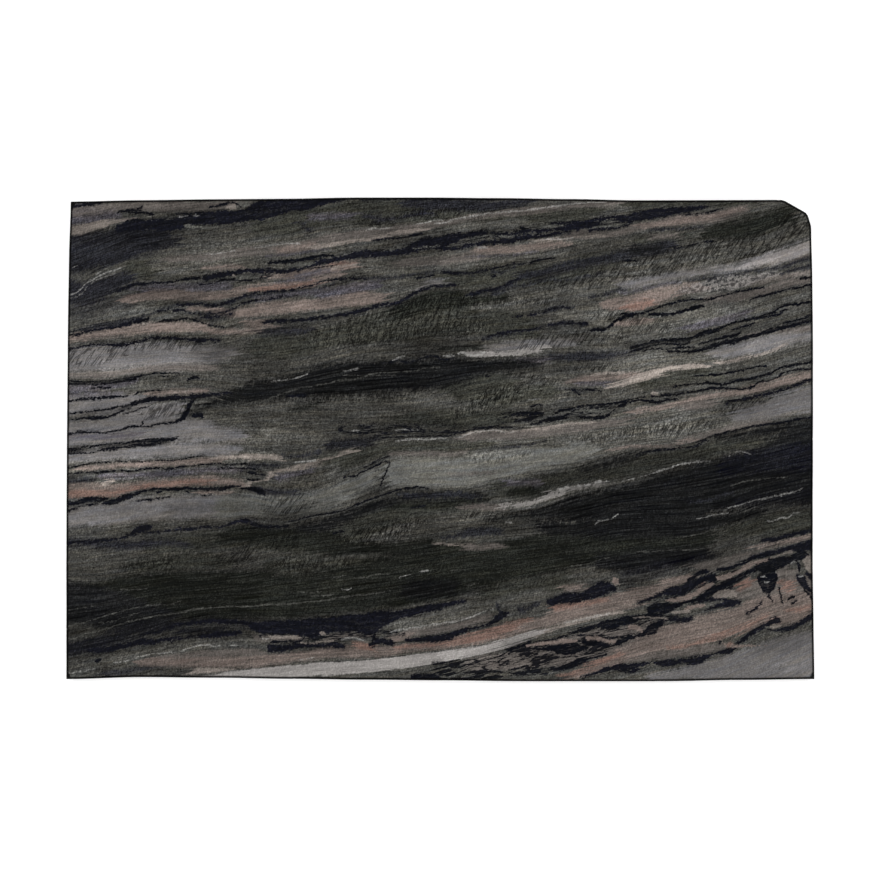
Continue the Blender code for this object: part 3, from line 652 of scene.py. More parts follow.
# Dark seams, ragged along their edges.
SEAMS = (
    ("navy", 0.4, 2.2, 1.0, (
        "-154 94 .8, -149 94.8 .6, -143 95.8 .6, -138 96.7 .3",
        "-132 85.8 1.4, -126 87 2, -120 87.4 2.3, -114 87.3 2.3, -109 87.6 2.4, -105 88.6 2.7, -100 89.7 2.3,"
        " -90 90.3 2.6, -85 90.6 2.4, -80 91.2 2.5, -77 92.4 3.2, -73 93.3 3.8, -69 94 3.6, -60 95.5 2.2,"
        " -55 95.7 2.1, -45 97.4 1, -38 98 .6",
        "-33 97.9 .2, -20 98.2 .3, 10 98.2 .5, 22 98 .3",
        "-132 60.4 .5, -128 61.8 .7, -124 63 .6, -119 63.4 .4",
        "-97 65.7 .6, -94 66.3 1, -86 67.4 1, -82 68.3 .9, -78 68.7 .8, -72 68.4 .9, -66 68.4 .8, -60 69 .7,"
        " -55 70.2 .6, -52 71.5 .9, -48 72.5 1, -43 73 1, -39 73.8 1.1, -35 75 1.3, -30 75.6 1.3,"
        " -25 75.7 1.3, -20 76.3 1.5, -15 77.2 1.9, -5 79.8 2.4, 0 80.4 2.4, 10 82.9 1.3, 15 83.9 1,"
        " 20 84.4 .6",
        "-2 77.9 .8, 4 77.7 .7, 9 78.4 .6, 14 79.5 .6, 19 79.9 .7, 29 81.2 1.1, 34 82.2 1, 44 83.2 .6,"
        " 49 84.3 .5, 54 84.7 .4",
        "20 83.2 .3, 25 83 1, 35 84.7 .6, 41 85 .8, 47 85.5 .7, 57 87 1.6, 61 87.5 1.4, 66 88.5 .8,"
        " 70 89.3 .6, 75 89.8 1.4, 80 90.8 2, 100 93.6 1.2, 105 94.2 .8, 109 95 .4",
        "45 87.8 .4, 55 88.3 .5, 70 90.4 .6, 76 91 .6",
        "60 85.3 .3, 72 86.6 .5, 77 87.4 .4",
        "-152 42.2 .4, -148 42.5 .5, -145 43.8 .5, -141 44.5 .6, -133 45.6 .7, -125 47.7 .8, -121 48.6 .7,"
        " -118 49.4 .3",
        "-100 49.3 .2, -94 49.6 .4, -89 50.4 .5, -84 51 .2",
        "-73 47.4 .2, -69 47.9 .6, -64 48.3 .8, -55 48.8 .6, -45 50.1 .6, -33 52.3 .8, -28 53.7 .7,"
        " -23 54.7 .7, -19 55.2 .6, -12 58.7 .7, -9 60.3 .5, -6 61.5 .5, -2 62.5 .4, 3 62.5 .5, 7 63 .3",
        "-152 36.8 .4, -148 37.3 .4, -144 38.4 .4, -139 38.7 .3, -134 38.4 .5, -130 38.5 .8, -123 39.9 .5,"
        " -115 41.4 .6, -106 41.2 .6, -98 40.1 .9, -94 40.4 .6, -89 40.1 .3",
        "-120 16 .3, -117 16.2 .9, -109 16.6 1, -105 16.9 .8, -101 17.5 1, -97 17.7 .9, -90 18.5 .4,"
        " -85 18.7 .3",
        "-110 .1 .6, -114 -.3 1, -118 -.6 1",
        "-153 -42.6 .5, -141 -41.6 .5, -128 -39.6 .5, -125.5 -38 1, -123 -36.7 1.3, -120 -36 1.3,"
        " -117.5 -35.3 .5",
        "-122 -37.9 .3, -118 -38 .3, -110 -36.9 .3, -106 -36.8 .6, -98 -36 .4, -88 -35.4 .2, -85 -34.2 .6,"
        " -82 -33.4 .7, -74 -33.3 .2",
        "-144 -86.2 .3, -140 -86.2 .9, -136 -85.9 1.2, -132 -85 1.3, -128 -84.2 1.2, -124 -82.9 1,"
        " -121 -82.2 1.1, -118 -82.6 1.1, -114 -82.1 1, -110 -81.6 .6, -100 -80.4 .4, -91 -79.5 1.1,"
        " -87 -79.3 1.2, -84 -79 1, -81 -78.8 .5",
        "-118 -78.6 .2, -112 -77.2 .6, -109 -76 .5, -106 -75.3 .6, -98 -74.5 .9, -93 -74.2 1, -83 -74.6 .9,"
        " -79 -75.1 1, -76 -76.2 1.6, -73 -76.7 2.3, -69 -76.8 2.7, -57 -76.6 3.1, -51.5 -77 4,"
        " -49 -76.2 3.5, -44 -75.4 3.2, -33 -75 3.7, -29.5 -75.4 4.5, -26.5 -74.4 4.3, -23 -73 3.2,"
        " -20 -72.2 2.3, -15 -71.3 1.6, 0 -68 1.2, 7 -66.4 .8, 11 -65.9 .3",
        "-71 -84.5 .5, -69 -85.2 1.4, -65 -85.4 1.4, -62 -84.8 1, -53 -83.9 .9, -46 -84 .3",
        "-46 -83.6 .4, -43.5 -83.7 1.2, -41 -84.1 1.1, -38.5 -85 .4",
        "-29 -83.6 .6, -26.5 -82.6 1.3, -24 -82.2 1, -21 -82.9 .9, -18.5 -83.3 .5",
        "-15 -82 .3, -7 -81.6 1, 1 -81 1.3, 4 -80.3 1.3, 10 -77.8 .8, 17 -75.8 .5, 20 -75 .6, 24 -72.5 1.4,"
        " 26 -71.5 1.3, 27.6 -71.3 .5",
        "43 -66.3 .5, 45.5 -66.3 1.3, 48 -65.2 1.6, 51 -64.5 2, 54 -64.8 2, 57 -64.4 1.6, 60 -63 2,"
        " 63 -61.8 2.6, 66 -60.6 2.9, 69 -60.4 1.8, 71.6 -61 .7",
        "116 14 .3, 122 15.9 .5, 134 18.6 .7, 137 19.4 .6, 143 21.4 .5, 146 22.5 .7, 149 23.8 .5,"
        " 154 25.6 .6",
        "80 -66.8 .5, 82.5 -66 .7, 85 -65 .5, 88 -64 .6, 91 -62.7 1, 94 -62 1.6, 98 -61.5 1.9, 101 -60.7 1.5,"
        " 103.5 -59.4 1, 106 -57.6 1.2, 109 -56.6 1.4, 112 -56 1.5",
        "130 -41.8 .6, 136 -40.6 1, 148 -37.8 .8, 154 -36.8 .8",
        "125 -49.4 .4, 128 -48.2 1, 131 -47.2 1.1, 138 -45.6 .9, 142 -44.5 1, 146 -44 1.7, 150 -43.2 2,"
        " 154 -42 2",
        "144.8 -55.6 .5, 146 -56.8 1.6, 147.4 -57.8 2.4, 148.8 -58.8 2, 150 -60.6 1",
        "148.6 -54.6 .4, 150 -55.6 1, 152 -56.6 1.6, 154 -57.6 1.6",
        "57 -96.8 .3, 62 -95.6 .6, 70 -93.3 1.1, 78 -92.7 1.3, 82 -92 .7, 86 -91 .3",
        "87 -91.3 .4, 90 -91.5 1.2, 93 -91.4 1.4, 96 -91 1.1, 98.4 -90.3 .7, 101 -90.5 1.3, 104 -90.2 1.6,"
        " 107 -89.5 1.4, 110.6 -87.7 .3, 113 -87.1 .4, 117.5 -86.3 1.2, 119.5 -85.3 1, 121 -83.6 1,"
        " 125 -80.4 1, 130 -77.2 1.1, 133 -75.6 1.1, 137.5 -73.6 1.6, 138.8 -74.6 1.2",
        "133 -77.4 .3, 136 -77.7 .5, 139.5 -77.4 1, 142.5 -76.8 1.1, 145.5 -75.6 1.1, 151 -72.4 1.6,"
        " 154 -71.4 1.6",
        "113 -83.3 .4, 114.6 -82.8 .8",
        "102 -66 .6, 106 -65.4 .7, 114 -65.2 .6, 121.5 -66.4 .8, 123 -66.2 .2",
        "108 -69.9 .4, 111 -68.9 .6, 114.5 -67.6 1.1, 118 -67 1.2, 121 -66.6 .8",
        "88 -74 .5, 93 -73.4 .6, 97 -73.6 1, 100.5 -73.4 .9, 103.5 -72.6 .3",
        "124 -71 .3, 127 -69.8 .4, 129 -68.6 .7, 130.6 -67 .8, 131.6 -66.1 .2",
        "73 -93 .6, 77 -94.6 .6, 81 -93.6 .4",
        "-78 58.8 .2, -70 60.2 .35, -62 60.8 .35, -54 62.4 .3, -46 64.6 .3, -38 65.4 .35, -30 65.2 .15",
        "-108 54.7 .3, -100 55 .45, -92 54.6 .5, -78 58.6 .3",
        "-116 52.2 .2, -108 52.6 .4, -100 51.2 .3, -92 51 .4, -86 52.6 .5, -76 56.8 .3, -70 57 .3,"
        " -62 58.4 .15",
        "0 68.4 .35, 5 67.6 .45, 12 67.7 .25, 26 70.4 .25, 33 72 .25",
        "12 59.2 .15, 16 60.2 .5, 20 60.9 .6, 24 61.8 .4, 28 63.6 .5, 33 65.6 .25",
        "19 42 .15, 24 43.2 .45, 29 43.9 .5, 34 44.2 .4, 39 45.2 .25, 44 46.6 .25, 50 47.4 .4, 56 47.2 .4,"
        " 61 47 .15",
        "29 50 .15, 35 50.4 .25, 40 51.4 .4, 45 53 .35, 53 53.8 .15",
    )),
    ("ink", 0.34, 1.8, 1.0, (
        "-108 91.6 .2, -100 92.2 .3, -96 92.4 .2",
        "-95 94.3 .2, -91 95 .4, -88 95.9 .5, -85 96.3 .5, -82.6 95.6 .4, -81 94.4 .2",
        "-132 92.2 .1, -126 93.2 .6, -123 93.8 .5, -121 94.8 .3",
        "-127 91.8 .2, -124 92.3 .5, -121 92.5 .4, -118 91.8 .5, -116.5 91.6 .2",
        "-129 88 .2, -124 89.4 .3, -121 89.5 .1",
        "-122 79.1 .1, -118 79.3 .25, -113 79.6 .2",
        "-120 63.4 .3, -110 64.1 .35, -106 64.9 .45, -97 65.7 .3",
        "-90 65.1 .2, -86 65.2 .25, -82 64.9 .25, -75 65.4 .35, -72.4 66.2 .25",
        "-100 63.4 .1, -96 63.2 .2, -92 63.8 .1",
        "-71 71.8 .2, -66 72.2 .7, -61 72.6 .8, -47 74.6 .5, -43 74.9 .25",
        "-58 68.3 .15, -48 70 .2, -42 71 .1",
        "-28 81.2 .2, -18 82 .35, -7 83.7 .2",
        "-46 64.8 .15, -41 64.9 .25, -35 64.8 .15, -38 65.6 .1",
        "-11 65.7 .3, -6 66.2 .4, -2 67.2 .25",
        "32.4 86.4 .1, 33.6 86.1 .8, 34.6 85 .3",
        "13 81.6 .25, 18 82.2 .35, 23 83.4 .4, 33 84.7 .3",
        "30 71.2 .2, 36 72 .3, 38.5 72.7 .5, 44 73.6 .4, 47 73.8 .2",
        "20.6 66.4 .1, 22 66.4 .3, 23.2 66.2 .1",
        "10 58.8 .2, 13 59 .35, 16 59.3 .2",
        "98 91.3 .15, 104 91.8 .25, 110 92.7 .3, 115 94.1 .25",
        "94 77.5 .15, 100 78.3 .3, 104 79.7 .35, 113 80.6 .1",
        "74 73 .4, 77 72.6 .5, 80 72.4 .2",
        "146 65.1 .2, 150 65.8 .45, 154 66.4 .4",
        "73 50.7 .4, 81 51.4 .4, 96 55.7 .4, 100 56.5 .35, 105 57 .25, 109 57.1 .3, 116 58.7 .35,"
        " 122 60.2 .35, 130 61.5 .3, 133 62 .15",
        "126 56.3 .15, 133 58.8 .5, 137 60 .4, 154 63.8 .45",
        "84 50.8 .3, 87 50.9 .6, 91 50.9 .6, 95 51.3 .6, 102.5 53.3 .8, 108 54.2 .2",
        "131 50.4 .3, 136 52 .4, 140 54.2 .45, 144 54.8 .45, 148 55.7 .45, 154 56.4 .4",
        "133 49.8 .2, 136.5 50.8 .6, 139 51.7 .6, 141.5 53.2 .3",
        "-117 47.2 .15, -108 48.7 .4, -104 49.1 .35, -100 48.5 .25, -97 47.3 .2, -93 46.1 .15, -88 45.7 .15",
        "-154 24.1 .3, -144 23.5 .3, -134 24.3 .2, -122 25.8 .4, -118 26.6 .35, -114 27 .25, -110 26.9 .2,"
        " -106 26.2 .15",
        "-154 22.8 .2, -142 22.4 .25, -137 22.7 .35, -127 24.3 .5, -123 25 .3",
        "-114 25.7 .15, -109 25.4 .2, -104.5 25.8 .1",
        "-103.6 23.6 .2, -101.6 24.8 .7, -99.6 25.2 .5, -98 24.6 .2",
        "-143 20.6 .1, -139 21.2 .3, -134 21.3 .2",
        "-152 15.2 .25, -144.5 16.4 .5, -140 16.5 .4, -136 17 .55, -129 17.4 .45, -126.6 17.7 .25",
        "-154 10.7 .25, -147 10.9 .25, -127 14 .45, -124 14.8 .8, -120 15.8 .8, -116 16.6 .4",
        "-154 8.3 .3, -148 8.4 .25, -144.5 8.7 .4, -141 8.6 .85, -135 9.3 .45, -127 12.5 .3, -125.5 12.8 .15",
        "-130 10 .15, -127 10.8 .15, -122 12.8 .15, -118 13.8 .2",
        "-125.4 17.9 .1, -123.4 19 .3, -120 19.4 .15, -114 19.8 .15",
        "-153 1.8 .35, -145 2.9 .5, -141 2.7 .3, -133 3.3 .3, -130 4 .3, -127 5 .4, -124 5.2 .3, -121 5 .25,"
        " -114 6.3 .35, -110 6.6 .4, -107.4 7.4 .6, -105.6 8.6 1.1, -104.2 9.6 1.8, -103.2 11.6 2,"
        " -102.2 13.6 1.5, -101.2 15.2 .9, -100.2 16 .3",
        "-122.6 5.2 .3, -121.4 6.4 .7, -120.4 7.6 .3",
        "-101.6 9.3 .2, -99.5 9.8 .8, -97.6 9.7 1.1, -96.2 9 .5",
        "-24.4 31.2 .12, -19.6 31.6 .2, -17 32.1 .3, -14 31.4 .23, -10 32.2 .2, -7 33.5 .3, -3 34 .25,"
        " 0 33 .3, 3 32.7 .3, 6 33.2 .15",
        "-63 17 .3, -60 17.6 .7, -57 17.9 .7, -54 17.6 .4",
        "60.6 44.4 .2, 63 44.7 .6, 66.6 44.8 .8, 68.8 45.9 .6, 73 48.9 .6, 79 50.2 .5",
        "76.6 37 .38, 84 38.9 .5, 87 40 .62, 90 40.6 .62, 97 40.7 .69, 101 41 .5, 107 43.3 1, 110 43.8 1,"
        " 119 47.3 .5, 130 49.6 .62, 134 50.4 .38",
        "77.4 35.4 .4, 80 36.4 .6, 83 37.3 .3, 87 38.6 .25, 92 39.1 .3, 97 38.8 .5, 100.6 39.2 .5,"
        " 102 40.4 .3",
        "82 36 .1, 86 36.9 .25, 91 36.8 .2, 98 37.4 .4, 102 37.3 .3, 104 37.6 .15",
        "91.6 35.8 .24, 96 36 .36, 100 35.7 .36, 104 36.1 .6, 113 38.5 .9, 116 39.5 .96, 119 39.8 1.2,"
        " 121.4 40.6 1.2, 127.5 42.2 .72, 131 43 .78, 134 44.1 1.02, 138 45 .9, 154 49.6 .6",
        "104.6 38.4 .15, 109 40 .3, 117 41.7 .6, 121 42.7 .5, 123 43.6 .2",
        "118 44.8 .15, 126 46.6 .45, 129 47.8 .3",
        "139 46.8 .3, 143 47.8 .5, 151 50.6 .4",
        "102 25.7 .15, 108 26 .3, 118 27.1 .5, 121 27.9 .4, 124 28.2 .4, 127 29.1 .35, 134 30.1 .15",
        "94 20.9 .25, 99 22 .35, 104 22.7 .3, 111.5 22.8 .5, 115 22.3 .4, 121 23.9 .6, 125 24.4 .6,"
        " 132 26 .45, 135 27.1 .55, 137.4 28.6 .5, 148 31 .45, 154 33.2 .5",
        "86 17.5 .35, 91 17.9 .5, 99 18.7 .3, 104 19.4 .35, 111 20.9 .6, 114 21 .6, 121 20.5 .35,"
        " 125 20.8 .5, 127.6 21.6 .5, 130 23 .4, 134 24 .3, 138 25.7 .3, 141 27.5 .3, 145 28.3 .4,"
        " 154 28.9 .4",
        "48 11.7 .25, 51 12.1 .5, 57 13.4 .4, 70 14.4 .35, 73 15.2 .5, 80 16.9 .25, 84 17.3 .2",
        "72 13.4 .3, 75 14.6 .5, 78 15.3 .4, 82 15.8 .35, 86 15.4 .6, 89 15.3 .5, 92 16 .4, 97 16.4 .25",
        "27.6 9.2 .4, 30 10.2 .7, 34 10.5 .7, 38 10.4 .7, 41.4 10.9 .4",
        "36 13.1 .15, 39 13.7 .3, 42 14 .15",
        "36 5.8 .2, 40 6.5 .4, 43.6 7.8 .8, 47 8.3 1, 50 9 .85, 53 10.1 .4",
        "56 9.2 .26, 60.6 8.7 .59, 65 8.5 .65, 68 9.6 .52, 70 11 .39, 71.4 12.6 .2",
        "54 20 .15, 58 20.1 .35, 66 19.7 .2",
        "50 20.1 .15, 53 20.1 .3, 55.6 19.2 .4, 57 17.8 .4",
        "17.6 25.5 .2, 18.8 25.7 .35, 20.4 26 .2",
        "-154 -4.3 .4, -149 -4.2 .35, -145 -3.3 .35, -137 -2.2 .25, -129 -1.5 .35, -121 -.7 .6, -115 -.3 .9,"
        " -111 -.1 .8, -108.6 .4 .6, -106.6 1.1 .3",
        "-154 -5.5 .4, -144 -5.5 .15, -138 -4.5 .35, -133 -3.9 .8, -130 -3.3 .4, -123 -2.3 .6, -120 -2.2 .6,"
        " -117 -1.6 .5, -113 -1.3 .2",
        "-154 -11.6 .4, -149 -11.3 .25, -145 -10.3 .25, -141 -9.7 .15, -134 -9.2 .12, -120 -8.9 .15,"
        " -114 -8.5 .25, -109 -8.7 .25, -105 -8 .2, -96 -7 .15",
        "-154 -14 .35, -149 -14 .25, -146 -13.3 .3, -142 -13.6 .25, -134 -13.2 .3, -131 -12.8 .2,"
        " -127 -13.2 .2, -121 -12 .3, -118 -11.8 .4, -115 -11.5 .3, -112 -12 .3, -98 -10.4 .15, -91 -9.9 .3,"
        " -87 -10.3 .2, -79 -9.7 .3",
        "-92 -11.8 .15, -86 -11.6 .2, -75 -12 .3, -72 -12.3 .1",
        "-82 -13.4 .15, -78 -13.3 .3, -74 -14.2 .35, -71 -14.6 .2",
        "-79 -16.4 .2, -76 -16.6 .35, -73 -16.1 .2",
        "-154 -25.7 1, -149 -25.7 .8, -143 -24.6 1, -140 -24.7 1, -137 -24.3 .6, -135 -24.4 .2",
        "-138 -26 .35, -135 -25.8 .75, -132 -25.3 1.1, -129 -24 1.1, -123 -21.8 .6, -120 -21.1 .4,"
        " -116 -20.3 .4, -112 -20.2 .6, -108 -20.4 .6, -104 -20 .45, -100 -20 .45, -96 -20.3 .65,"
        " -92 -20.3 .75, -89 -20.4 .6, -87 -19.7 .5, -84 -19.1 .5, -80.6 -18.9 .3",
        "-154 -29.8 .4, -150 -28.8 .4, -148 -28 .35, -142 -26.6 .25, -139 -26.3 .3",
        "-104.2 -20.8 .3, -103.2 -21.4 .6, -102.2 -22.2 .3",
        "-116 -21.8 .15, -114.4 -21.4 .5, -113 -20.9 .3",
        "-124 -25.3 .2, -122 -25 .4, -120.6 -24.8 .2, -119 -24.8 .5, -115 -24 .15, -110 -23.5 .12",
        "-98 -22.8 .15, -95 -22.9 .25, -93 -22.9 .1",
        "-82 -19.9 .3, -76 -20.4 .7, -73.6 -21.6 1.1, -71 -22.4 .5",
        "-62 -33.4 .27, -50 -30.9 .41, -41 -29.4 .34, -30 -25.2 .47, -26 -24 .47, -19 -21.1 .41,"
        " -15 -20.2 .27, -10 -19.6 .41, -4 -20 .27",
        "-78 -34.7 .3, -72 -35.3 .4, -66 -35.5 .4, -61 -35 .25",
        "-40 -16.1 .15, -34.5 -14.7 .3, -32 -13.7 .45, -27 -11 .35, -25 -10.2 .25, -23.6 -9.2 .3,"
        " -20.6 -8.8 .15",
        "-32 -11.6 .1, -24 -8 .15, -20 -7.1 .12",
        "-25 -20 .2, -24.2 -18.6 .6, -23.3 -16.4 .8, -22.4 -13.6 .8, -21.4 -11.6 .7, -20 -9.6 .2",
        "80 -6.5 .2, 88 -4.7 .35, 101 -3.4 .25, 104 -3 .3, 106 -1.8 .25, 109 -.4 .15",
        "-44 -38.5 .2, -42 -38 .4, -39 -37.4 .2",
        "-12 -28.1 .2, -9 -27.3 .35, -6 -26.8 .15",
        "-122.6 -80.6 .4, -121 -79.6 .4, -118 -78.7 .35, -114 -77.9 .3",
        "-141 -90.6 .2, -139.6 -90.4 .6, -138.2 -90.2 .2",
        "-138 -96.9 .3, -132 -96.8 .3, -126 -97.2 .2",
        "-69.6 -83 .4, -62 -82.5 .4, -59 -82.8 .35, -55 -80.6 .5",
        "-27.8 -82 .5, -27 -80.6 1.6, -26 -79.6 .6",
        "26 -86 .3, 34 -84.1 .8, 36 -83 .9, 37.4 -82.3 .3",
        "44 -81.7 .15, 53 -79.3 .45, 56 -77.6 .7, 60 -76.8 .65, 63.6 -76.1 .8, 66 -75.6 1.5, 69.6 -75.4 1.6,"
        " 74 -74.4 1.7, 84 -72.2 1.1, 88 -71.8 1.1, 91 -72 .5",
        "55 -80 .2, 60 -80 .3, 68 -81.1 .35, 72 -80.6 .35, 76 -80.7 .5, 80 -80 .6, 83 -79 1.1, 85.6 -77.3 2,"
        " 88 -75.9 1.5, 91 -75 .4",
        "37 -85.5 .25, 42 -85.6 .6, 45 -85.2 1, 48 -85.5 1.9, 52 -85.4 2.6, 55 -85 2.5, 57.4 -85.4 1.2,"
        " 60.4 -85.3 .3",
        "58 -82.6 .5, 64 -83.3 1.3, 67 -83.8 .9, 69.4 -84.5 .3",
        "71.4 -83.2 .7, 73.4 -82.6 1.5, 75.4 -81.6 1.1, 77 -81.2 .5",
        "47 -93.7 .3, 50 -92.8 .8, 53 -92.2 1.1, 56 -91.1 1.2, 62 -89.3 .5, 68 -87.4 .2",
        "-12 -96.8 .8, -6 -96.6 1, 0 -97.4 .6",
        "84 -69.8 .6, 87.6 -68.9 2, 91 -69 2.1, 94 -68.5 1.5, 97 -67.5 1, 100 -66.2 .6, 103.4 -65.6 .7,"
        " 106 -64.5 1.2, 109 -62.4 1.6, 115 -59.8 1.4, 118 -58.3 1.5, 121 -57 1.4, 124 -55.2 1, 127 -53.4 1,"
        " 130 -51.5 1.6, 133 -51.2 2.6, 135.4 -51.8 3.4, 137.4 -50.6 2.4, 140 -50 2, 143 -49.2 1.8,"
        " 146 -47.6 2, 148.4 -46.8 1.8, 150 -47.6 .6",
        "112 -53 .3, 116 -52.9 .7, 119 -52.3 .6, 122 -51.3 .6, 128 -48.5 .5, 137 -47 .4",
        "109.6 -57.4 1.2, 111.4 -57 2.2, 112.8 -56.8 .9",
        "129.2 -56.6 .8, 130.4 -57.6 2.4, 132 -58.4 4.2, 133.6 -58.6 4.4, 135.4 -57.6 4.2, 137 -56.4 1.6",
        "129.6 -52.8 .8, 132 -53.4 1.6, 134 -54.2 2.2",
        "137.6 -60.2 .2, 138.6 -62.6 1.6, 139.2 -65 1.6, 139.6 -67.6 .3",
        "132.6 -62.6 .3, 133.4 -63.8 .8, 134.4 -64.6 .6, 136 -66.6 .2",
        "145 -50.4 .4, 146 -52 1.6, 146.8 -53 1.4, 147.4 -54 .3",
        "100.6 -57.6 .2, 103 -56 .8, 105.4 -54.6 1, 110 -53.8 .2",
        "102 -60.6 .3, 104 -58.6 1, 106.4 -57.2 1.2, 108.6 -56.6 1",
        "84 -79.6 .4, 86 -78.2 1.4, 88.4 -76.6 1.6, 90 -75 .6",
        "132.8 -64.4 .3, 134 -64 .6, 135 -63.8 .2",
        "141.4 -65.6 .3, 142.4 -65 .8, 143.6 -64.3 .6, 144.8 -64.8 .4",
        "142.6 -67 .2, 144 -66.6 .4, 145.4 -65.6 .3",
        "147.6 -60 .3, 148.6 -61.6 .7, 149.6 -62.6 .6",
        "75 -80.4 .4, 78 -80.2 .6, 80.4 -80 .4",
        "-24 .9 .2, -4 1.2 .2, 4 1.8 .2, 12 3.8 .3, 20 4.9 .25, 30 4.8 .2",
        "104 -1.6 .2, 110 1 .35, 116 2.6 .3, 134 6.2 .4, 140 6.8 .4, 146 8.2 .4, 154 9.4 .4",
    )),
)

# Patches where a net of thin dark threads runs through the bands.
LACE = (
    "-4 -95 4, 20 -93 5, 30 -91.5 6, 40 -89.5 7.4, 50 -87 7.6, 60 -83.5 7.4, 68 -80.5 6.5, 75 -77.5 5.2,"
    " 82 -75.6 4.2, 90 -73.6 2.4, 98 -73 1.8, 103 -72.6 .8",
    "84 -69 2, 92 -67 4, 100 -63.5 5.5, 108 -60.5 6, 116 -58.5 5, 122 -56 2",
    "-42 4 .8, -34 4 2, -26 3.6 2.4, 4 3.6 2, 24 5 .8, 34 5.4 .6",
    "22 9 1, 30 9.5 2.4, 38 9.4 2.8, 46 9.6 2, 54 11.6 1.8, 62 11.4 2.2, 70 12.5 1.8, 76 14.5 1",
    "-74 -80 .8, -64 -80.4 1.6, -44 -80.2 1.8, -14 -79 1",
    "8 79.6 1, 16 82.6 1.6, 26 83.6 2, 36 85.6 1.6, 60 87.6 1.2, 70 88 2, 78 88.6 1.2",
    "-92 64.6 .8, -76 66 1.2, -68 66.4 .6",
)

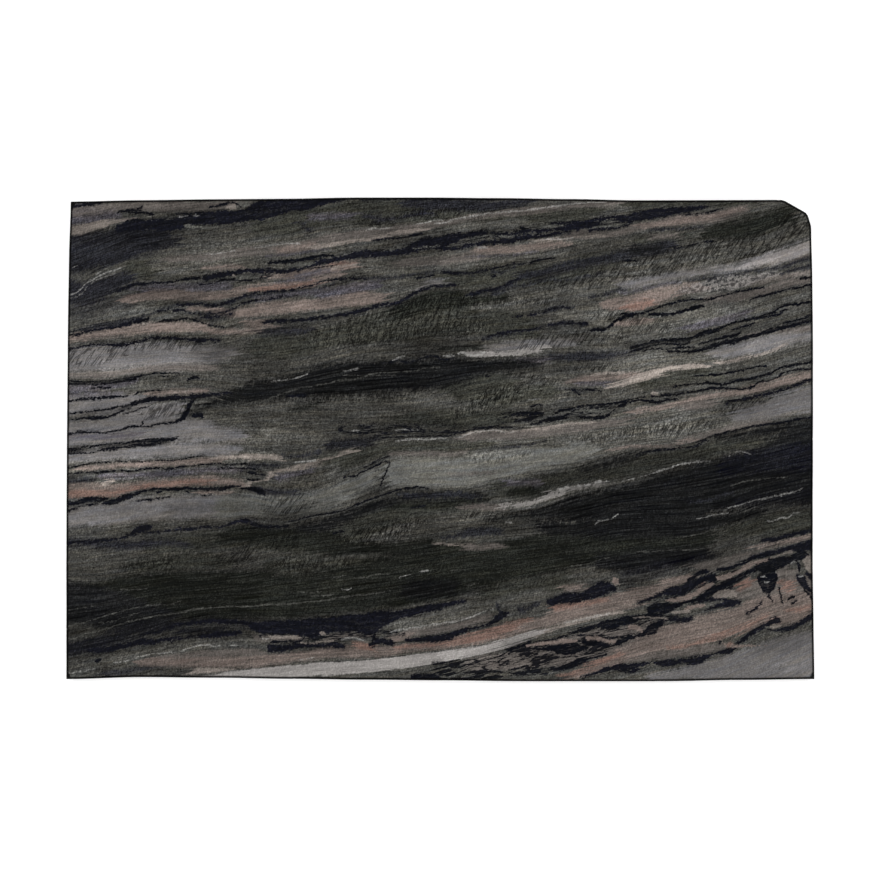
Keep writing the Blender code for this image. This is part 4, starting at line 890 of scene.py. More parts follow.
# Pale veins, lenses and flecks, drawn over the seams.
VEINS = (
    ("sage", 0.4, 1.8, 0.85, (
        "-104.8 87.2 .3, -103.2 87.2 .9, -101 86.6 .7, -98 86.3 .4, -94 86.4 .3, -90 86.8 .3",
        "12 81.6 .1, 17 82.6 .3, 22 83 .2, 27 82.6 .4, 31 82.7 .1",
        "36 86.4 .1, 41 86.8 .3, 46 86.7 .3, 51 86.9 .15",
        "62 86.2 .1, 66 86.6 .3, 70 86.8 .3, 75 87.4 .1",
        "65 88.2 .1, 69 88.7 .35, 73 88.9 .1",
        "-12 77.8 .1, -6 78.2 .25, 0 79 .2",
        "-24 76.6 .1, -18 78 .5, -12 79.2 .2",
        "-62 71.2 .4, -56 71.5 .6, -51 71.9 .3",
        "-83.4 65.8 .15, -80 66.2 .4, -76 66 .55, -73.6 66.3 .3",
        "-82.6 96 .5, -80 95.8 1.1, -77.6 96.9 .5",
        "57 11.6 .3, 61 11.6 .7, 65 11.5 .7, 68.6 12 .4",
        "42 10.6 .2, 44 10.6 .5, 46.6 10.9 .2",
    )),
    ("rose", 0.4, 1.6, 0.9, (
        "35 -84 .4, 40 -83.6 .7, 46 -82.9 .85, 51 -82.2 .8, 56 -81.8 .5",
        "59 -81 .6, 63 -81.1 .8, 66 -81.8 .6, 69 -82.4 .6, 72 -82.4 .4",
        "76 -76.4 .5, 78.6 -76.6 1, 81 -77.2 .9, 82.6 -78 .5",
        "92 -65.8 .4, 96 -65.6 .8, 100 -64.6 .8, 103 -63.4 .8, 106 -61.6 1, 109 -59.7 .9, 111.4 -58.6 .5",
        "112.6 -56.9 .5, 115 -56.4 1, 118 -55.6 1, 121 -54.2 .8, 124 -52.6 .9, 127 -51 .8, 130 -49.9 .6,"
        " 134 -49.2 .4",
        "99 -69.2 .5, 102 -68.6 .9, 105 -67.8 .8, 108 -67.4 .4",
        "118 -84.2 .6, 116 -84.3 .5",
        "69.8 -57.6 .6, 71 -58 1.3, 72.6 -58.2 .8",
    )),
    ("shell", 0.4, 1.6, 0.55, (
        "-85.2 66.9 .1, -83 66.7 .2",
        "-87.4 94.2 .3, -86 94.6 1, -84.4 94.7 1.2, -83.2 94.2 .5",
        "-57 -83 .1, -52 -82.9 .3, -47 -82.2 .5, -43 -81.6 .4",
        "-70 -80.4 .5, -63 -80.8 .7, -57 -81 .5",
        "-49.4 -79.2 .3, -48 -78.9 .7, -46.6 -79.4 .3",
        "78 -72.9 .15, 83 -72.3 .3, 88 -72.8 .3, 93 -73 .2",
        "94 -70.8 .4, 98 -70.4 .5, 102 -70.2 .4",
        "111 -64 .4, 116.6 -62.8 1.6, 119.4 -62.8 1.3, 121 -63.8 .6",
        "134 -76.9 .3, 137 -76.4 .6, 139 -75.6 .2",
        "148 -50 1.4, 150.4 -51 3.4, 154 -51.5 4",
        "86 18.7 .5, 87.2 18.9 1, 88.6 18.6 .4",
        "134 -48.4 .1, 137 -47.8 .12, 139 -46.9 .2, 144.4 -45.8 .1",
    )),
    ("white", 0.35, 1.2, 0.4, (
        "-154 58.6 .21, -150 58.9 .24, -147.6 60.1 .28, -144 63.9 .28, -141 65.7 .28, -131 69.6 .17,"
        " -128 70.4 .08",
        "-150 57.8 .1, -147.6 58.4 .15, -143.2 62.6 .15, -140 64.9 .12, -136 66.6 .12, -132 68 .1",
        "-140.4 67.2 .08, -139 68 .17, -137.2 68.6 .08",
        "-150 69.8 .1, -147.4 71.1 .15",
        "-107.4 90.5 .1, -105 90.8 .25, -102.4 91.1 .1",
        "-101.4 91.3 .1, -99.6 91.3 .3, -98 91.4 .1",
        "-96 75.3 .1, -86 76.7 .2, -83 77.1 .1",
        "-31 85.2 .1, -27 85.6 .25, -23 85.8 .15, -19 86.3 .2",
        "-11 87.4 .1, -7 88.2 .25, -2.6 89.2 .2, 1 89.4 .25",
        "-3 88 .1, 2 88.4 .15, 5 89.4 .2, 9 90.2 .25, 13 90.7 .3, 17 91.5 .3, 27 92.7 .2, 33 93.1 .2,"
        " 43 94.6 .25, 60 96.4 .2, 68 96.7 .15",
        "14.2 78 .1, 17 78 .3, 19.6 78 .1",
        "41 81 .1, 45 81.6 .3, 55 82 .15",
        "-69 23.6 .12, -66.4 24 .27, -63.6 24.1 .12, -61.6 24.3 .15, -59.4 25 .27, -57 25.4 .18,"
        " -55 26.3 .27, -53.6 26.9 .08",
        "-40 27.4 .08, -34.6 28.6 .24, -32.4 28.8 .08",
        "-19.6 32.2 .08, -18 32.8 .3, -14 34 .18",
        "1 33.8 .2, 4 34 .45, 6 34 .1",
        "7.4 34.9 .2, 9.2 35.4 .6, 12 34.4 .6, 14 34.2 .4, 17 34.9 .5, 18.6 35.4 .2",
        "-37 3.5 .08, -34.6 3.6 .36, -32.4 3.6 .18",
        "-19 3.7 .1, -17.4 3.8 .35, -15 3.9 .1, -11 3.9 .1, -9.6 3.9 .3, -8 3.9 .1",
        "-19 -.6 .1, -15 -.1 .3, -10 0 .45, -5 -.1 .35, -1 .5 .4, 3 .5 .25",
        "36 15.8 .1, 38.6 16.1 .25, 41.4 16.4 .1",
        "-60 -9.4 .15, -56.6 -9 .35, -54.6 -8.9 .2, -52.6 -8.8 .35, -50 -8.6 .3",
        "26 -34.4 .15, 28 -33.9 .35, 29.8 -33.8 .2",
        "62 -34.9 .15, 64 -33.8 .3, 66 -33.1 .3, 68 -33 .15, 70 -32.2 .2, 72 -31 .25, 73.2 -30.4 .15",
        "74 -17.4 .08, 76 -16.6 .14, 79 -15.9 .14, 81 -15.2 .1, 83.5 -14.6 .21, 86 -14 .1, 88.5 -13.3 .35,"
        " 91 -12.5 .17, 93.4 -12 .24, 95.5 -11.2 .17, 98 -10.4 .32, 107 -9 .21, 110.4 -8.7 .08",
        "116 -27.8 .15, 119 -27.3 .25, 122 -26.8 .1, 128 -25 .25, 134 -23.9 .25, 137 -23 .3, 143 -21.8 .25,"
        " 146 -20.8 .25, 148.6 -19.8 .1",
        "104 -32.5 .08, 107 -31.8 .14, 110 -31.3 .1, 117.6 -30 .21",
        "133 -33 .15, 135 -33.5 .2, 137 -32.6 .2, 139 -32 .2, 141 -32.2 .15, 145 -30 .2, 147 -30 .1",
        "117 -7.5 .08, 119 -6.4 .09, 121.6 -5.3 .15, 127 -6.5 .08",
        "-154 -95.6 .24, -145 -94.5 .28, -141 -93.4 .16",
        "-134 -91.3 .1, -130 -90.7 .25, -127 -90 .2, -124 -88.9 .2, -120 -87.9 .2, -110 -87 .25, -105 -86 .2,"
        " -102 -84.9 .25, -95 -83.8 .25, -92 -84.3 .25, -89.6 -84.2 .15",
        "-86 -84.2 .1, -84 -84 .25, -81.6 -83.8 .1",
        "-73 -81.2 .1, -71 -81.2 .3, -69.6 -81 .1",
        "-59 -90.1 .1, -57 -89.8 .25, -54 -89.4 .15, -51 -88.7 .1",
        "-41 -81.8 .15, -38 -81 .35, -35 -81 .35, -31.4 -82 .15",
        "-20.6 -78.6 .15, -17 -77.8 .35, -9 -76.2 .35, -1 -75.3 .3, 3 -74.6 .3, 7 -74.2 .3, 10 -73.5 .25,"
        " 13 -72.5 .25, 19 -69.8 .2, 22 -69 .1",
        "-40.6 -60.9 .08, -38 -61.3 .3, -36.4 -60.9 .09",
        "-17.2 -56.6 .08, -15 -55.9 .18, -11.2 -55.3 .08",
        "-9.2 -54.2 .09, -7 -53.6 .18, -4.2 -53.3 .09",
        "50 -74.7 .3, 54 -74.2 .35, 64 -72 .3, 69 -70.8 .25",
        "-76 78 .15, -70 79 .22, -64 79.6 .2, -57 79.8 .22",
        "5 .6 .15, 15 3 .32, 23 3.6 .28, 28 3.1 .22, 33 3.5 .15",
        "130.4 -56.4 .15, 132 -55.8 .3, 133.2 -56.4 .15",
        "131.6 -58 .15, 133 -58.3 .3, 134.4 -57.9 .15",
        "136 -54.6 .1, 136.8 -54.2 .25, 137.4 -53.9 .1",
        "143 -51 .15, 144.2 -50.2 .4, 145.2 -50.6 .2",
        "145.4 -56 .1, 146.8 -55.8 .3, 148 -55.9 .1",
        "48 -20.4 .3, 50.6 -19.8 .4, 53 -19.6 .2",
        "54.6 -19.6 .1, 56 -18.9 .4, 57.4 -19.2 .2",
        "58.4 -19 .2, 60 -18.8 .3, 61.4 -18.6 .1",
        "62 -18.2 .3, 64 -17.6 .35, 66 -16.9 .2",
        "67 -17 .1, 68 -16.8 .25, 69 -17.2 .1",
    )),
    ("sage", 0.4, 1.0, 0.6, (
        "-154 -81.9 .2, -149 -80.7 .2, -125 -74 .25, -115 -71.8 .25, -106 -70.6 .25, -102 -69.6 .3,"
        " -98 -69 .3, -94 -68.8 .2, -85 -68.1 .3, -75 -67.8 .25, -70 -67.3 .25, -60 -67 .3, -56 -66.7 .25,"
        " -52 -66 .25, -44 -65 .25, -40 -64.3 .25, -35 -63.8 .25, -20 -61.6 .1",
        "-154 -77 .2, -141 -73.6 .15, -133 -71 .15, -121 -68.2 .15, -105 -65.6 .1",
        "-152 -70 .1, -146 -68.6 .15, -140 -67.5 .1",
        "-140 -75 .1, -122 -70.5 .1",
        "-131 -61.6 .1, -125 -61.3 .15, -119 -61 .1",
        "-75 14.2 .1, -70 16.5 .2, -65 18.3 .2, -55 21.3 .2, -45 23 .2, -42 23.8 .2, -35 24.2 .2,"
        " -28 26.6 .2, -15 27.6 .15, -10 28.2 .15, -5 29.2 .2, 0 29.6 .1",
        "-40 26 .1, -30 25.8 .1, -18 26 .1",
        "-54 -64.1 .1, -50 -63.7 .2, -43 -63 .1",
        "-59 -62.3 .1, -57 -62.3 .2, -54 -62.4 .1, -51 -62.2 .2, -48 -62 .15",
        "-44 -56.8 .1, -41 -56.2 .2, -38 -55.5 .15",
        "-35 -56.7 .1, -31 -56.5 .15, -28 -55.7 .15, -20 -54.8 .1",
        "3 -53.3 .1, 7 -53.3 .25, 10 -53.3 .1",
        "9 -59.6 .1, 13 -59.2 .25, 16 -58.8 .1",
        "31 -60 .1, 36 -58.6 .15, 41 -57.6 .2, 44 -57.3 .25, 47 -56.7 .1",
        "50 -52.9 .1, 60 -50.7 .15, 70 -48.2 .1",
        "-78 -33.2 .15, -72 -33.6 .15, -67 -34.4 .2, -63 -34.4 .15, -58 -33.3 .25, -52 -31.7 .2,"
        " -45 -30.7 .2, -40 -29.4 .25, -22 -23 .2, -18 -21.8 .1",
        "20 -40 .1, 27 -40 .15, 33 -39.5 .2, 35 -39 .1",
        "42 30.7 .1, 50 31.2 .15, 58 31.6 .1",
        "96 -40 .1, 105 -38.6 .15, 114 -36.8 .1",
        "80 -46 .1, 95 -45.2 .15, 108 -44.4 .1",
        "28 41.6 .1, 36 41.4 .2, 52 42.7 .1",
        "118 -19.8 .1, 122 -17.8 .2, 128 -16.6 .2, 134 -15.9 .15, 142 -15.4 .1",
    )),
)

# Patches of oblique striations.
STRIATED = (
    "-154 33 3, -148 33.6 4.2, -132 35.4 3, -126 37 1.6",
    "-126 39 1, -112 38.6 2.2, -104 38.4 2.4, -98 38.4 1.4",
    "-121 10 1.4, -115 11 2.8, -108 12 2.8, -103 12.6 1",
    "30 36.6 1, 46 40 3.4, 62 42 3.4, 78 42 1",
    "40 62.6 1.6, 50 63.4 2.6, 100 74 5.4, 130 80 5.4, 138 84 6, 146 87 5.4, 153 88 3",
    "52 28.6 1, 62 29 1.6, 72 29.6 1.2",
    "114 12 1.6, 120 13.4 2.4, 134 15.8 1.4",
    "-70 -41 1.6, -64 -41.6 3, -58 -41 2",
    "-42 -40 1.4, -27 -38.6 4, -19 -37 4, -11 -36 3",
    "8 -32 1.6, 16 -31.4 2.2, 24 -31.8 1.4",
    "-90 -48.6 1.6, -82 -47.6 2.6, -75 -46.4 1.6",
    "12 14.6 1.6, 18 17 3, 26 19 3, 44 22.6 1.4",
    "88 3 2, 100 4 3, 112 6 2",
    "30 26 1, 40 24.6 1.6, 50 23 1",
    "60 51 1.4, 70 50 2, 84 46.6 3, 96 46 2",
    "-134 38 1.6, -126 38 1.8, -116 39.6 1.8, -98 39.4 1.4",
    "-72 -27 1.6, -66 -27 3.6, -59 -26.4 4.4, -53 -25 2.4",
    "-84 -46.6 1.6, -79 -45 3, -74 -43.4 2",
)

# Patches of fine crumpling across the beds.
CRUMPLED = (
    "-58 41 1, -50 41 4, -40 43 6, -20 46.6 7.6, 0 48 6, 20 46 2",
    "-18 52 2, -8 54 4, 2 55.6 4, 24 56 2.4, 48 56 1.4",
    "4 10 1.4, 12 14 4, 22 17 4.6, 32 18 3.4",
    "-70 17 1, -60 16 1.4, -32 17.4 2, -6 18 1.6",
    "-30 85 1.4, -20 90 2, -8 92 2.6, 6 93 2.4, 18 92 2",
    "-68 -51.4 2, -56 -51 3, -46 -51 3, -36 -51 2",
    "-130 -52 1.4, -120 -51 2.4, -108 -50 2.4",
    "12 -8 .8, 20 -8 1.6, 38 -6 .8",
    "54 0 1, 66 1 2.2, 92 5 2.6, 104 6 1.6",
    "-40 -41 .8, -24 -38.4 3.4, -16 -36 4, -8 -34 3",
)

# The crushed patch at the upper right, a mix of pale and dark grains.
CRUSHED = (
    "98 61 .8, 106 61.6 1.8, 112 63 2.6, 118 63.8 2.8, 124 64.6 2.6, 130 66 1.4, 138 67.6 .8",
)

# Heights of the beds across the slab, from the top down, at these distances along it. They lie past the
# slab's own edge where the beds leave it, and steer the grain and foliation.
STATIONS = (
    -155, -140, -125, -110, -95, -80, -65, -50, -35, -20, -5, 10, 25, 40, 55, 70, 85, 100, 115, 130, 155,
)
HORIZONS = (
    (94, 97, 99, 101, 103, 105, 107, 110, 112, 114, 117, 119, 121, 123, 125, 127, 128, 130, 131, 132, 134),
    (72, 77, 83, 85.5, 87, 89, 92, 95, 98, 100, 102, 104, 106, 108, 110, 112, 114, 116, 118, 119, 120),
    (57, 66, 71, 74, 75.5, 77.5, 79, 82.5, 84.7, 86.3, 88.5,
     90.3, 92.6, 94.7, 96, 97, 99, 101, 103, 105, 108),
    (53, 58, 62.6, 64.3, 66, 68.6, 68.6, 72, 75, 76.3, 79, 82, 84, 85.5, 88, 90, 91.5, 93.4, 95.5, 98, 101),
    (44, 47, 50, 53.5, 55, 57.5, 59.6, 62, 65, 66.5, 67.5, 69, 71, 73, 76.5, 79, 81.5, 84.5, 87.5, 92, 98),
    (38, 39.3, 40, 41, 42, 46.5, 48.4, 49.8, 52, 55.5, 60.5,
     61.5, 63.5, 67.5, 71.5, 74, 75.5, 78, 80, 82.5, 92),
    (24, 24, 25, 27, 25.5, 24.3, 24.5, 28, 31.8, 32.5, 33.6, 34.2, 35, 35, 35, 35.2, 38, 41, 45, 49.5, 56),
    (10.5, 12, 14.5, 16.5, 18, 13.5, 16, 17, 17.6, 19, 19.4, 23, 26, 27.5, 29, 30.5, 33, 34.5, 38, 43, 49.5),
    (1.5, 2.9, 5, 6.5, 9, 10.5, 12, 12, 12, 12.5, 13.5, 15.4, 18.4, 21, 21.8, 23, 27, 29.5, 31, 34.5, 42.5),
    (-5, -3, -1.5, 0, 1, 1.5, 1.2, 1.8, 2.7, 3.2, 4, 5.3, 8, 10.4, 13, 15, 17.4, 19.3, 21, 25, 31.5),
    (-12, -9.6, -9.2, -8.6, -7.5, -8, -8, -6.2, -3.2, -.8, 0,
     1.6, 3.4, 4.4, 6.3, 8.8, 11.6, 15.2, 17.4, 19, 25.5),
    (-25, -23.6, -22, -19.7, -19.5, -18.8, -22, -20, -14.8, -7.6, -6,
     -5, -3, -1.4, 0, 1.8, 3.6, 6, 9, 12, 18),
    (-42.5, -41, -38.6, -36.6, -35.5, -33.8, -34, -31.5, -28, -21.5, -20,
     -19.5, -16.6, -14, -12.4, -7.5, -4, -3, 2, 6, 9.5),
    (-51, -49, -47, -45.4, -43.6, -41, -38, -36, -34, -31, -30,
     -29, -27.5, -25, -19.5, -16.5, -13.5, -9.8, -6.5, -4, 1.5),
    (-58, -59, -57, -55, -54.5, -53, -49, -47, -45, -44, -42,
     -39.5, -38, -37, -36, -32, -31, -31.5, -30, -24.5, -19),
    (-82, -78.2, -74, -71.2, -69, -68, -67.2, -65.7, -63.8, -61.6, -59,
     -56, -54, -51, -48.6, -46.3, -44, -42.5, -40, -34, -28.5),
    (-89, -86.3, -83.4, -77.6, -75, -75.2, -76, -76.6, -77.6, -75, -72.5,
     -69, -67, -65, -61, -58.6, -56.3, -52.4, -48, -45, -38.5),
    (-97, -93, -89.4, -87, -84.4, -84, -84.6, -84, -82.8, -82.6, -81.6,
     -78.4, -75.4, -73.4, -69, -65, -63, -60.5, -54, -49, -42.5),
    (-107, -104, -101, -98.4, -96, -94, -92.6, -90.6, -89.8, -89, -87.2,
     -84.8, -81.8, -77.8, -73.8, -70.6, -68, -65, -60, -53, -45.5),
    (-118, -113, -109, -105, -103, -100.5, -99, -97.4, -95.6, -94.4, -92,
     -89, -85.4, -81, -78, -74.6, -72, -70, -66.6, -62, -55),
    (-132, -128, -124, -121, -118, -115, -112, -109, -106, -103, -100.5,
     -97.5, -94.5, -91, -88, -84.6, -79.6, -75.6, -72, -68, -59),
    (-150, -146, -142, -138, -134, -130, -126, -122, -118, -114.5, -111,
     -108, -105.5, -103, -99, -95.6, -91.6, -89, -86.6, -77.8, -70),
    (-170, -165, -160, -155, -151, -147, -143, -139, -135, -131, -127,
     -123, -119, -115, -111, -108, -104, -100, -96.6, -91, -80),
)


def linear(level):
    """An 8-bit sRGB level as linear light."""
    share = level / 255
    return share / 12.92 if share <= 0.04045 else ((share + 0.055) / 1.055) ** 2.4


def colour(name, gain=1.0):
    """A mineral's linear colour."""
    red, green, blue = (gain * linear(level) for level in MINERALS[name])
    return (red, green, blue, 1.0)


class Graph:
    """A material's node tree, with short ways to add nodes and join them."""

    def __init__(self, name):
        self.material = bpy.data.materials.new(name)
        self.material.use_nodes = True
        self.tree = self.material.node_tree
        self.tree.nodes.clear()

    def put(self, socket, value):
        if isinstance(value, bpy.types.NodeSocket):
            self.tree.links.new(value, socket)
        else:
            socket.default_value = value

    def node(self, kind, inputs=(), **settings):
        made = self.tree.nodes.new(kind)
        for key, value in settings.items():
            setattr(made, key, value)
        for key, value in dict(inputs).items():
            self.put(made.inputs[key], value)
        return made

    def attribute(self, name):
        return self.node("ShaderNodeAttribute", attribute_name=name).outputs["Fac"]

    def math(self, operation, *values):
        made = self.node("ShaderNodeMath", operation=operation)
        for socket, value in zip(made.inputs, values):
            self.put(socket, value)
        return made.outputs[0]

    def vector(self, operation, *values):
        made = self.node("ShaderNodeVectorMath", operation=operation)
        for socket, value in zip(made.inputs, values):
            self.put(socket, value)
        return made.outputs["Value" if operation == "DOT_PRODUCT" else "Vector"]

    def combine(self, x, y, z):
        return self.node("ShaderNodeCombineXYZ", {"X": x, "Y": y, "Z": z}).outputs[0]

    def noise(self, vector, detail=3.0, roughness=0.55, distortion=0.0):
        """Noise of about unit scale, from 0 to 1 round a half."""
        inputs = {
            "Vector": vector,
            "Scale": 1.0,
            "Detail": detail,
            "Roughness": roughness,
            "Distortion": distortion,
        }
        return self.node("ShaderNodeTexNoise", inputs).outputs["Fac"]

    def even_noise(self, vector, scale):
        """Noise of the same scale in all directions."""
        inputs = {"Vector": vector, "Scale": scale, "Detail": 2.0}
        return self.node("ShaderNodeTexNoise", inputs).outputs["Fac"]

    def remap(self, value, low, high, to_low=0.0, to_high=1.0):
        inputs = {"Value": value, "From Min": low, "From Max": high, "To Min": to_low, "To Max": to_high}
        return self.node("ShaderNodeMapRange", inputs).outputs[0]

    def mix(self, share, first, second, blend="MIX"):
        made = self.node("ShaderNodeMix", data_type="RGBA", blend_type=blend)
        self.put(made.inputs[0], share)
        self.put(made.inputs[6], first)
        self.put(made.inputs[7], second)
        return made.outputs[2]

    def shade(self, stone, gain):
        """The stone made lighter or darker by a gain near 1."""
        return self.mix(1.0, stone, self.combine(gain, gain, gain), "MULTIPLY")

    def shade_part(self, stone, share, gain):
        """The stone with this share of it made lighter or darker by a gain."""
        return self.mix(share, stone, self.shade(stone, gain))


class StoneGraph(Graph):
    """The quartzite's node tree, with coordinates that run with its beds."""

    def __init__(self, name):
        super().__init__(name)
        self.place = self.node("ShaderNodeTexCoord").outputs["Object"]
        split = self.node("ShaderNodeSeparateXYZ", {"Vector": self.place})
        self.x, y, self.z = split.outputs
        depth = self.math("SUBTRACT", THICKNESS, self.z)
        bed_y = self.math("MULTIPLY_ADD", depth, -DIP, y)
        self.bedding = self.attribute("bedding")
        sway = self.wander(self.flow("sway"), SWAY)
        ripple = self.wander(self.flow("ripple"), RIPPLE)
        self.warped_y = self.math("ADD", self.math("ADD", bed_y, sway), ripple)
        self.near = self.coordinates(self.wander(self.flow("nudge"), NUDGE))
        self.far = self.coordinates(self.wander(self.flow("slip"), SLIP, 3.0))
        broad_edge = self.wander(self.flow("broad edge"), 0.5)
        self.seam_edge = self.math("ADD", broad_edge, self.wander(self.flow("fine edge"), 0.75))
        self.bed_edge = self.math("ADD", broad_edge, self.wander(self.stripes("bed edge"), 0.6))
        self.seam_gaps = self.remap(self.ridge(self.flow("seam gaps")), 0.006, 0.030, -0.55, 0.0)
        self.haze_lines = self.remap(self.ridge(self.flow("haze lines")), 0.004, 0.022, 0.75, 0.0)
        self.calm = []

    def flow(self, name):
        """Coordinates that run with the beds, in units of a length along them and a thickness across."""
        length, thickness, seed = ALONG_BEDS[name]
        return self.combine(
            self.math("MULTIPLY_ADD", self.x, 1 / length, seed),
            self.math("MULTIPLY_ADD", self.bedding, 1 / thickness, seed),
            self.math("MULTIPLY", self.z, 1 / length))

    def stripes(self, name):
        """Coordinates of fine straight stripes that cross the beds."""
        turn, length, thickness, seed = ACROSS_BEDS[name]
        inputs = {"Vector": self.place, "Angle": -math.radians(turn)}
        turned = self.node("ShaderNodeVectorRotate", inputs, rotation_type="Z_AXIS").outputs[0]
        scaled = self.vector("MULTIPLY", turned, (1 / length, 1 / thickness, 1 / length))
        return self.vector("ADD", scaled, (seed, seed, seed))

    def wander(self, vector, amount, detail=2.0):
        """Noise of about plus or minus amount."""
        return self.math("MULTIPLY_ADD", self.noise(vector, detail), 4 * amount, -2 * amount)

    def ridge(self, vector, detail=3.0, distortion=0.0):
        """How far noise is from its middle value: nought along thin winding lines."""
        noise = self.noise(vector, detail, 0.6, distortion)
        return self.math("ABSOLUTE", self.math("SUBTRACT", noise, 0.5))

    def coordinates(self, shift):
        """The x and y vectors that marks are drawn on, with x shifted by this much."""
        x = self.math("ADD", self.x, shift)
        return self.combine(x, x, x), self.combine(self.warped_y, self.warped_y, self.warped_y)


def read_stroke(text):
    """A stroke's points in metres: x, y and half-width. One that reaches the slab's end runs on past it."""
    points = [tuple(float(word) * CM for word in point.split()) for point in text.split(",")]
    for side, index, inner in ((-1, 0, 1), (1, -1, -2)):
        x, y, width = points[index]
        if x * side > EDGE_ZONE:
            slope = (y - points[inner][1]) / (x - points[inner][0])
            far = side * (REACH + CM)
            point = (far, y + slope * (far - x), width)
            if abs(x) < REACH:
                points.insert(0 if side < 0 else len(points), point)
    return points


def share_lanes(strokes):
    """Sorts strokes into lanes. Those in one lane follow one another along x, with gaps between them."""
    lanes = []
    for stroke in sorted(strokes, key=lambda points: points[0][0]):
        for lane in lanes:
            if lane[-1][-1][0] + GAP <= stroke[0][0]:
                lane.append(stroke)
                break
        else:
            lanes.append([stroke])
    return lanes


def lane_middles(lane):
    return [(x, y) for stroke in lane for x, y, _ in stroke]


def lane_widths(lane, closed):
    """Half-widths along a lane, with the negative value closed where there is no stroke."""
    points = []
    for stroke in lane:
        points.append((stroke[0][0] - END, closed))
        points += [(x, width) for x, _, width in stroke]
        points.append((stroke[-1][0] + END, closed))
    return points


def curves(graph, vector, tables):
    """Three curves over x in one node. tables is three lists of points, as (x, value)."""
    made = graph.node("ShaderNodeVectorCurve", {"Vector": vector})
    mapping = made.mapping
    mapping.use_clip = False
    mapping.extend = "HORIZONTAL"
    for curve, points in zip(mapping.curves, tables):
        inside = [point for point in points if -REACH < point[0] < REACH]
        before = [point for point in points if point[0] <= -REACH]
        after = [point for point in points if point[0] >= REACH]
        first = before[-1][1] if before else points[0][1]
        last = after[0][1] if after else points[-1][1]
        curve.points[0].location = (-REACH, first)
        curve.points[1].location = (REACH, last)
        for x, value in inside:
            curve.points.new(x, value)
        for point in curve.points:
            point.handle_type = "AUTO_CLAMPED"
    mapping.update()
    return made.outputs[0]


def coverage(graph, where, strokes, softness, ragged, haze=0.0):
    """How much of a mark is at each spot, from 0 to 1. where is the x vector and y vector.

    With a haze, also how near the mark is: 1 at its edge and 0 at the haze's width from it.
    """
    along, across = where
    closed = -(softness + 2 * CM)
    level = graph.math("MULTIPLY_ADD", ragged, -1.0 / softness, 0.5)
    level = graph.combine(level, level, level)
    total = None
    nearness = None
    lanes = share_lanes([read_stroke(text) for text in strokes])
    for start in range(0, len(lanes), 3):
        group = lanes[start:start + 3]
        middles = [lane_middles(lane) for lane in group]
        widths = [lane_widths(lane, closed) for lane in group]
        while len(middles) < 3:
            middles.append([(0.0, 0.0)])
            widths.append([(0.0, closed)])
        away = graph.vector("SUBTRACT", across, curves(graph, along, middles))
        away = graph.vector("ABSOLUTE", away)
        away = graph.vector("SUBTRACT", away, curves(graph, along, widths))
        if haze:
            near = graph.vector("MULTIPLY_ADD", away, (-1 / haze,) * 3, (1.0, 1.0, 1.0))
            near = graph.vector("MAXIMUM", near, (0.0, 0.0, 0.0))
            near = graph.vector("DOT_PRODUCT", near, (1.0, 1.0, 1.0))
            nearness = near if nearness is None else graph.math("MAXIMUM", nearness, near)
        cover = graph.vector("MULTIPLY_ADD", away, (-1 / softness,) * 3, level)
        cover = graph.vector("MAXIMUM", cover, (0.0, 0.0, 0.0))
        cover = graph.vector("DOT_PRODUCT", cover, (1.0, 1.0, 1.0))
        total = cover if total is None else graph.math("ADD", total, cover)
    return graph.math("MINIMUM", total, 1.0), nearness


def bed_heights(xs, ys):
    """The bedding coordinate: each spot's height among the beds, as the beds' mean heights give it."""
    stations = np.array(STATIONS) * CM
    heights = np.array([np.interp(xs, stations, np.array(row) * CM) for row in HORIZONS])
    levels = np.array([np.mean(row) * CM for row in HORIZONS])
    found = np.empty(len(xs))
    for index in range(len(xs)):
        found[index] = np.interp(ys[index], heights[::-1, index], levels[::-1])
    past = ys - np.clip(ys, heights[-1], heights[0])
    return found + past


def is_flat(face, level):
    """Whether a face lies flat at this height."""
    return abs(face.normal.z) > LEVEL and abs(face.calc_center_median().z - level) < 0.00005


def gridded_slab(source):
    """A copy of the slab's mesh with a grid cut into it, so that the bedding coordinate can bend."""
    grid = bmesh.new()
    grid.from_mesh(source.data)
    bmesh.ops.remove_doubles(grid, verts=grid.verts, dist=0.00002)
    for level in (LOW[2], HIGH[2]):
        bmesh.ops.dissolve_faces(grid, faces=[face for face in grid.faces if is_flat(face, level)])
    for axis, normal in ((0, (1, 0, 0)), (1, (0, 1, 0))):
        length = HIGH[axis] - LOW[axis]
        count = round(length / GRID)
        for step in range(1, count):
            place = [0.0, 0.0, 0.0]
            place[axis] = LOW[axis] + length * step / count
            parts = grid.verts[:] + grid.edges[:] + grid.faces[:]
            bmesh.ops.bisect_plane(grid, geom=parts, dist=0.00001, plane_co=place, plane_no=normal)
    bmesh.ops.triangulate(grid, faces=grid.faces)
    mesh = bpy.data.meshes.new("dressed_slab")
    grid.to_mesh(mesh)
    grid.free()
    return mesh


def set_edges(mesh):
    """Smooths the faces but keeps the edges crisp. The copied normals don't fit the grid, so they go."""
    mesh.polygons.foreach_set("use_smooth", [True] * len(mesh.polygons))
    mesh.attributes.remove(mesh.attributes["custom_normal"])
    mesh.set_sharp_from_angle(angle=math.radians(SHARP_TURN))


def vertex_places(mesh):
    places = np.empty(len(mesh.vertices) * 3)
    mesh.vertices.foreach_get("co", places)
    return places.reshape(-1, 3)


def store_bedding(mesh):
    """Stores the bedding coordinate, carried down through the slab along the lean of its beds."""
    places = vertex_places(mesh)
    depth = HIGH[2] - places[:, 2]
    values = bed_heights(places[:, 0], places[:, 1] - depth * DIP)
    mesh.attributes.new("bedding", "FLOAT", "POINT").data.foreach_set("value", values)


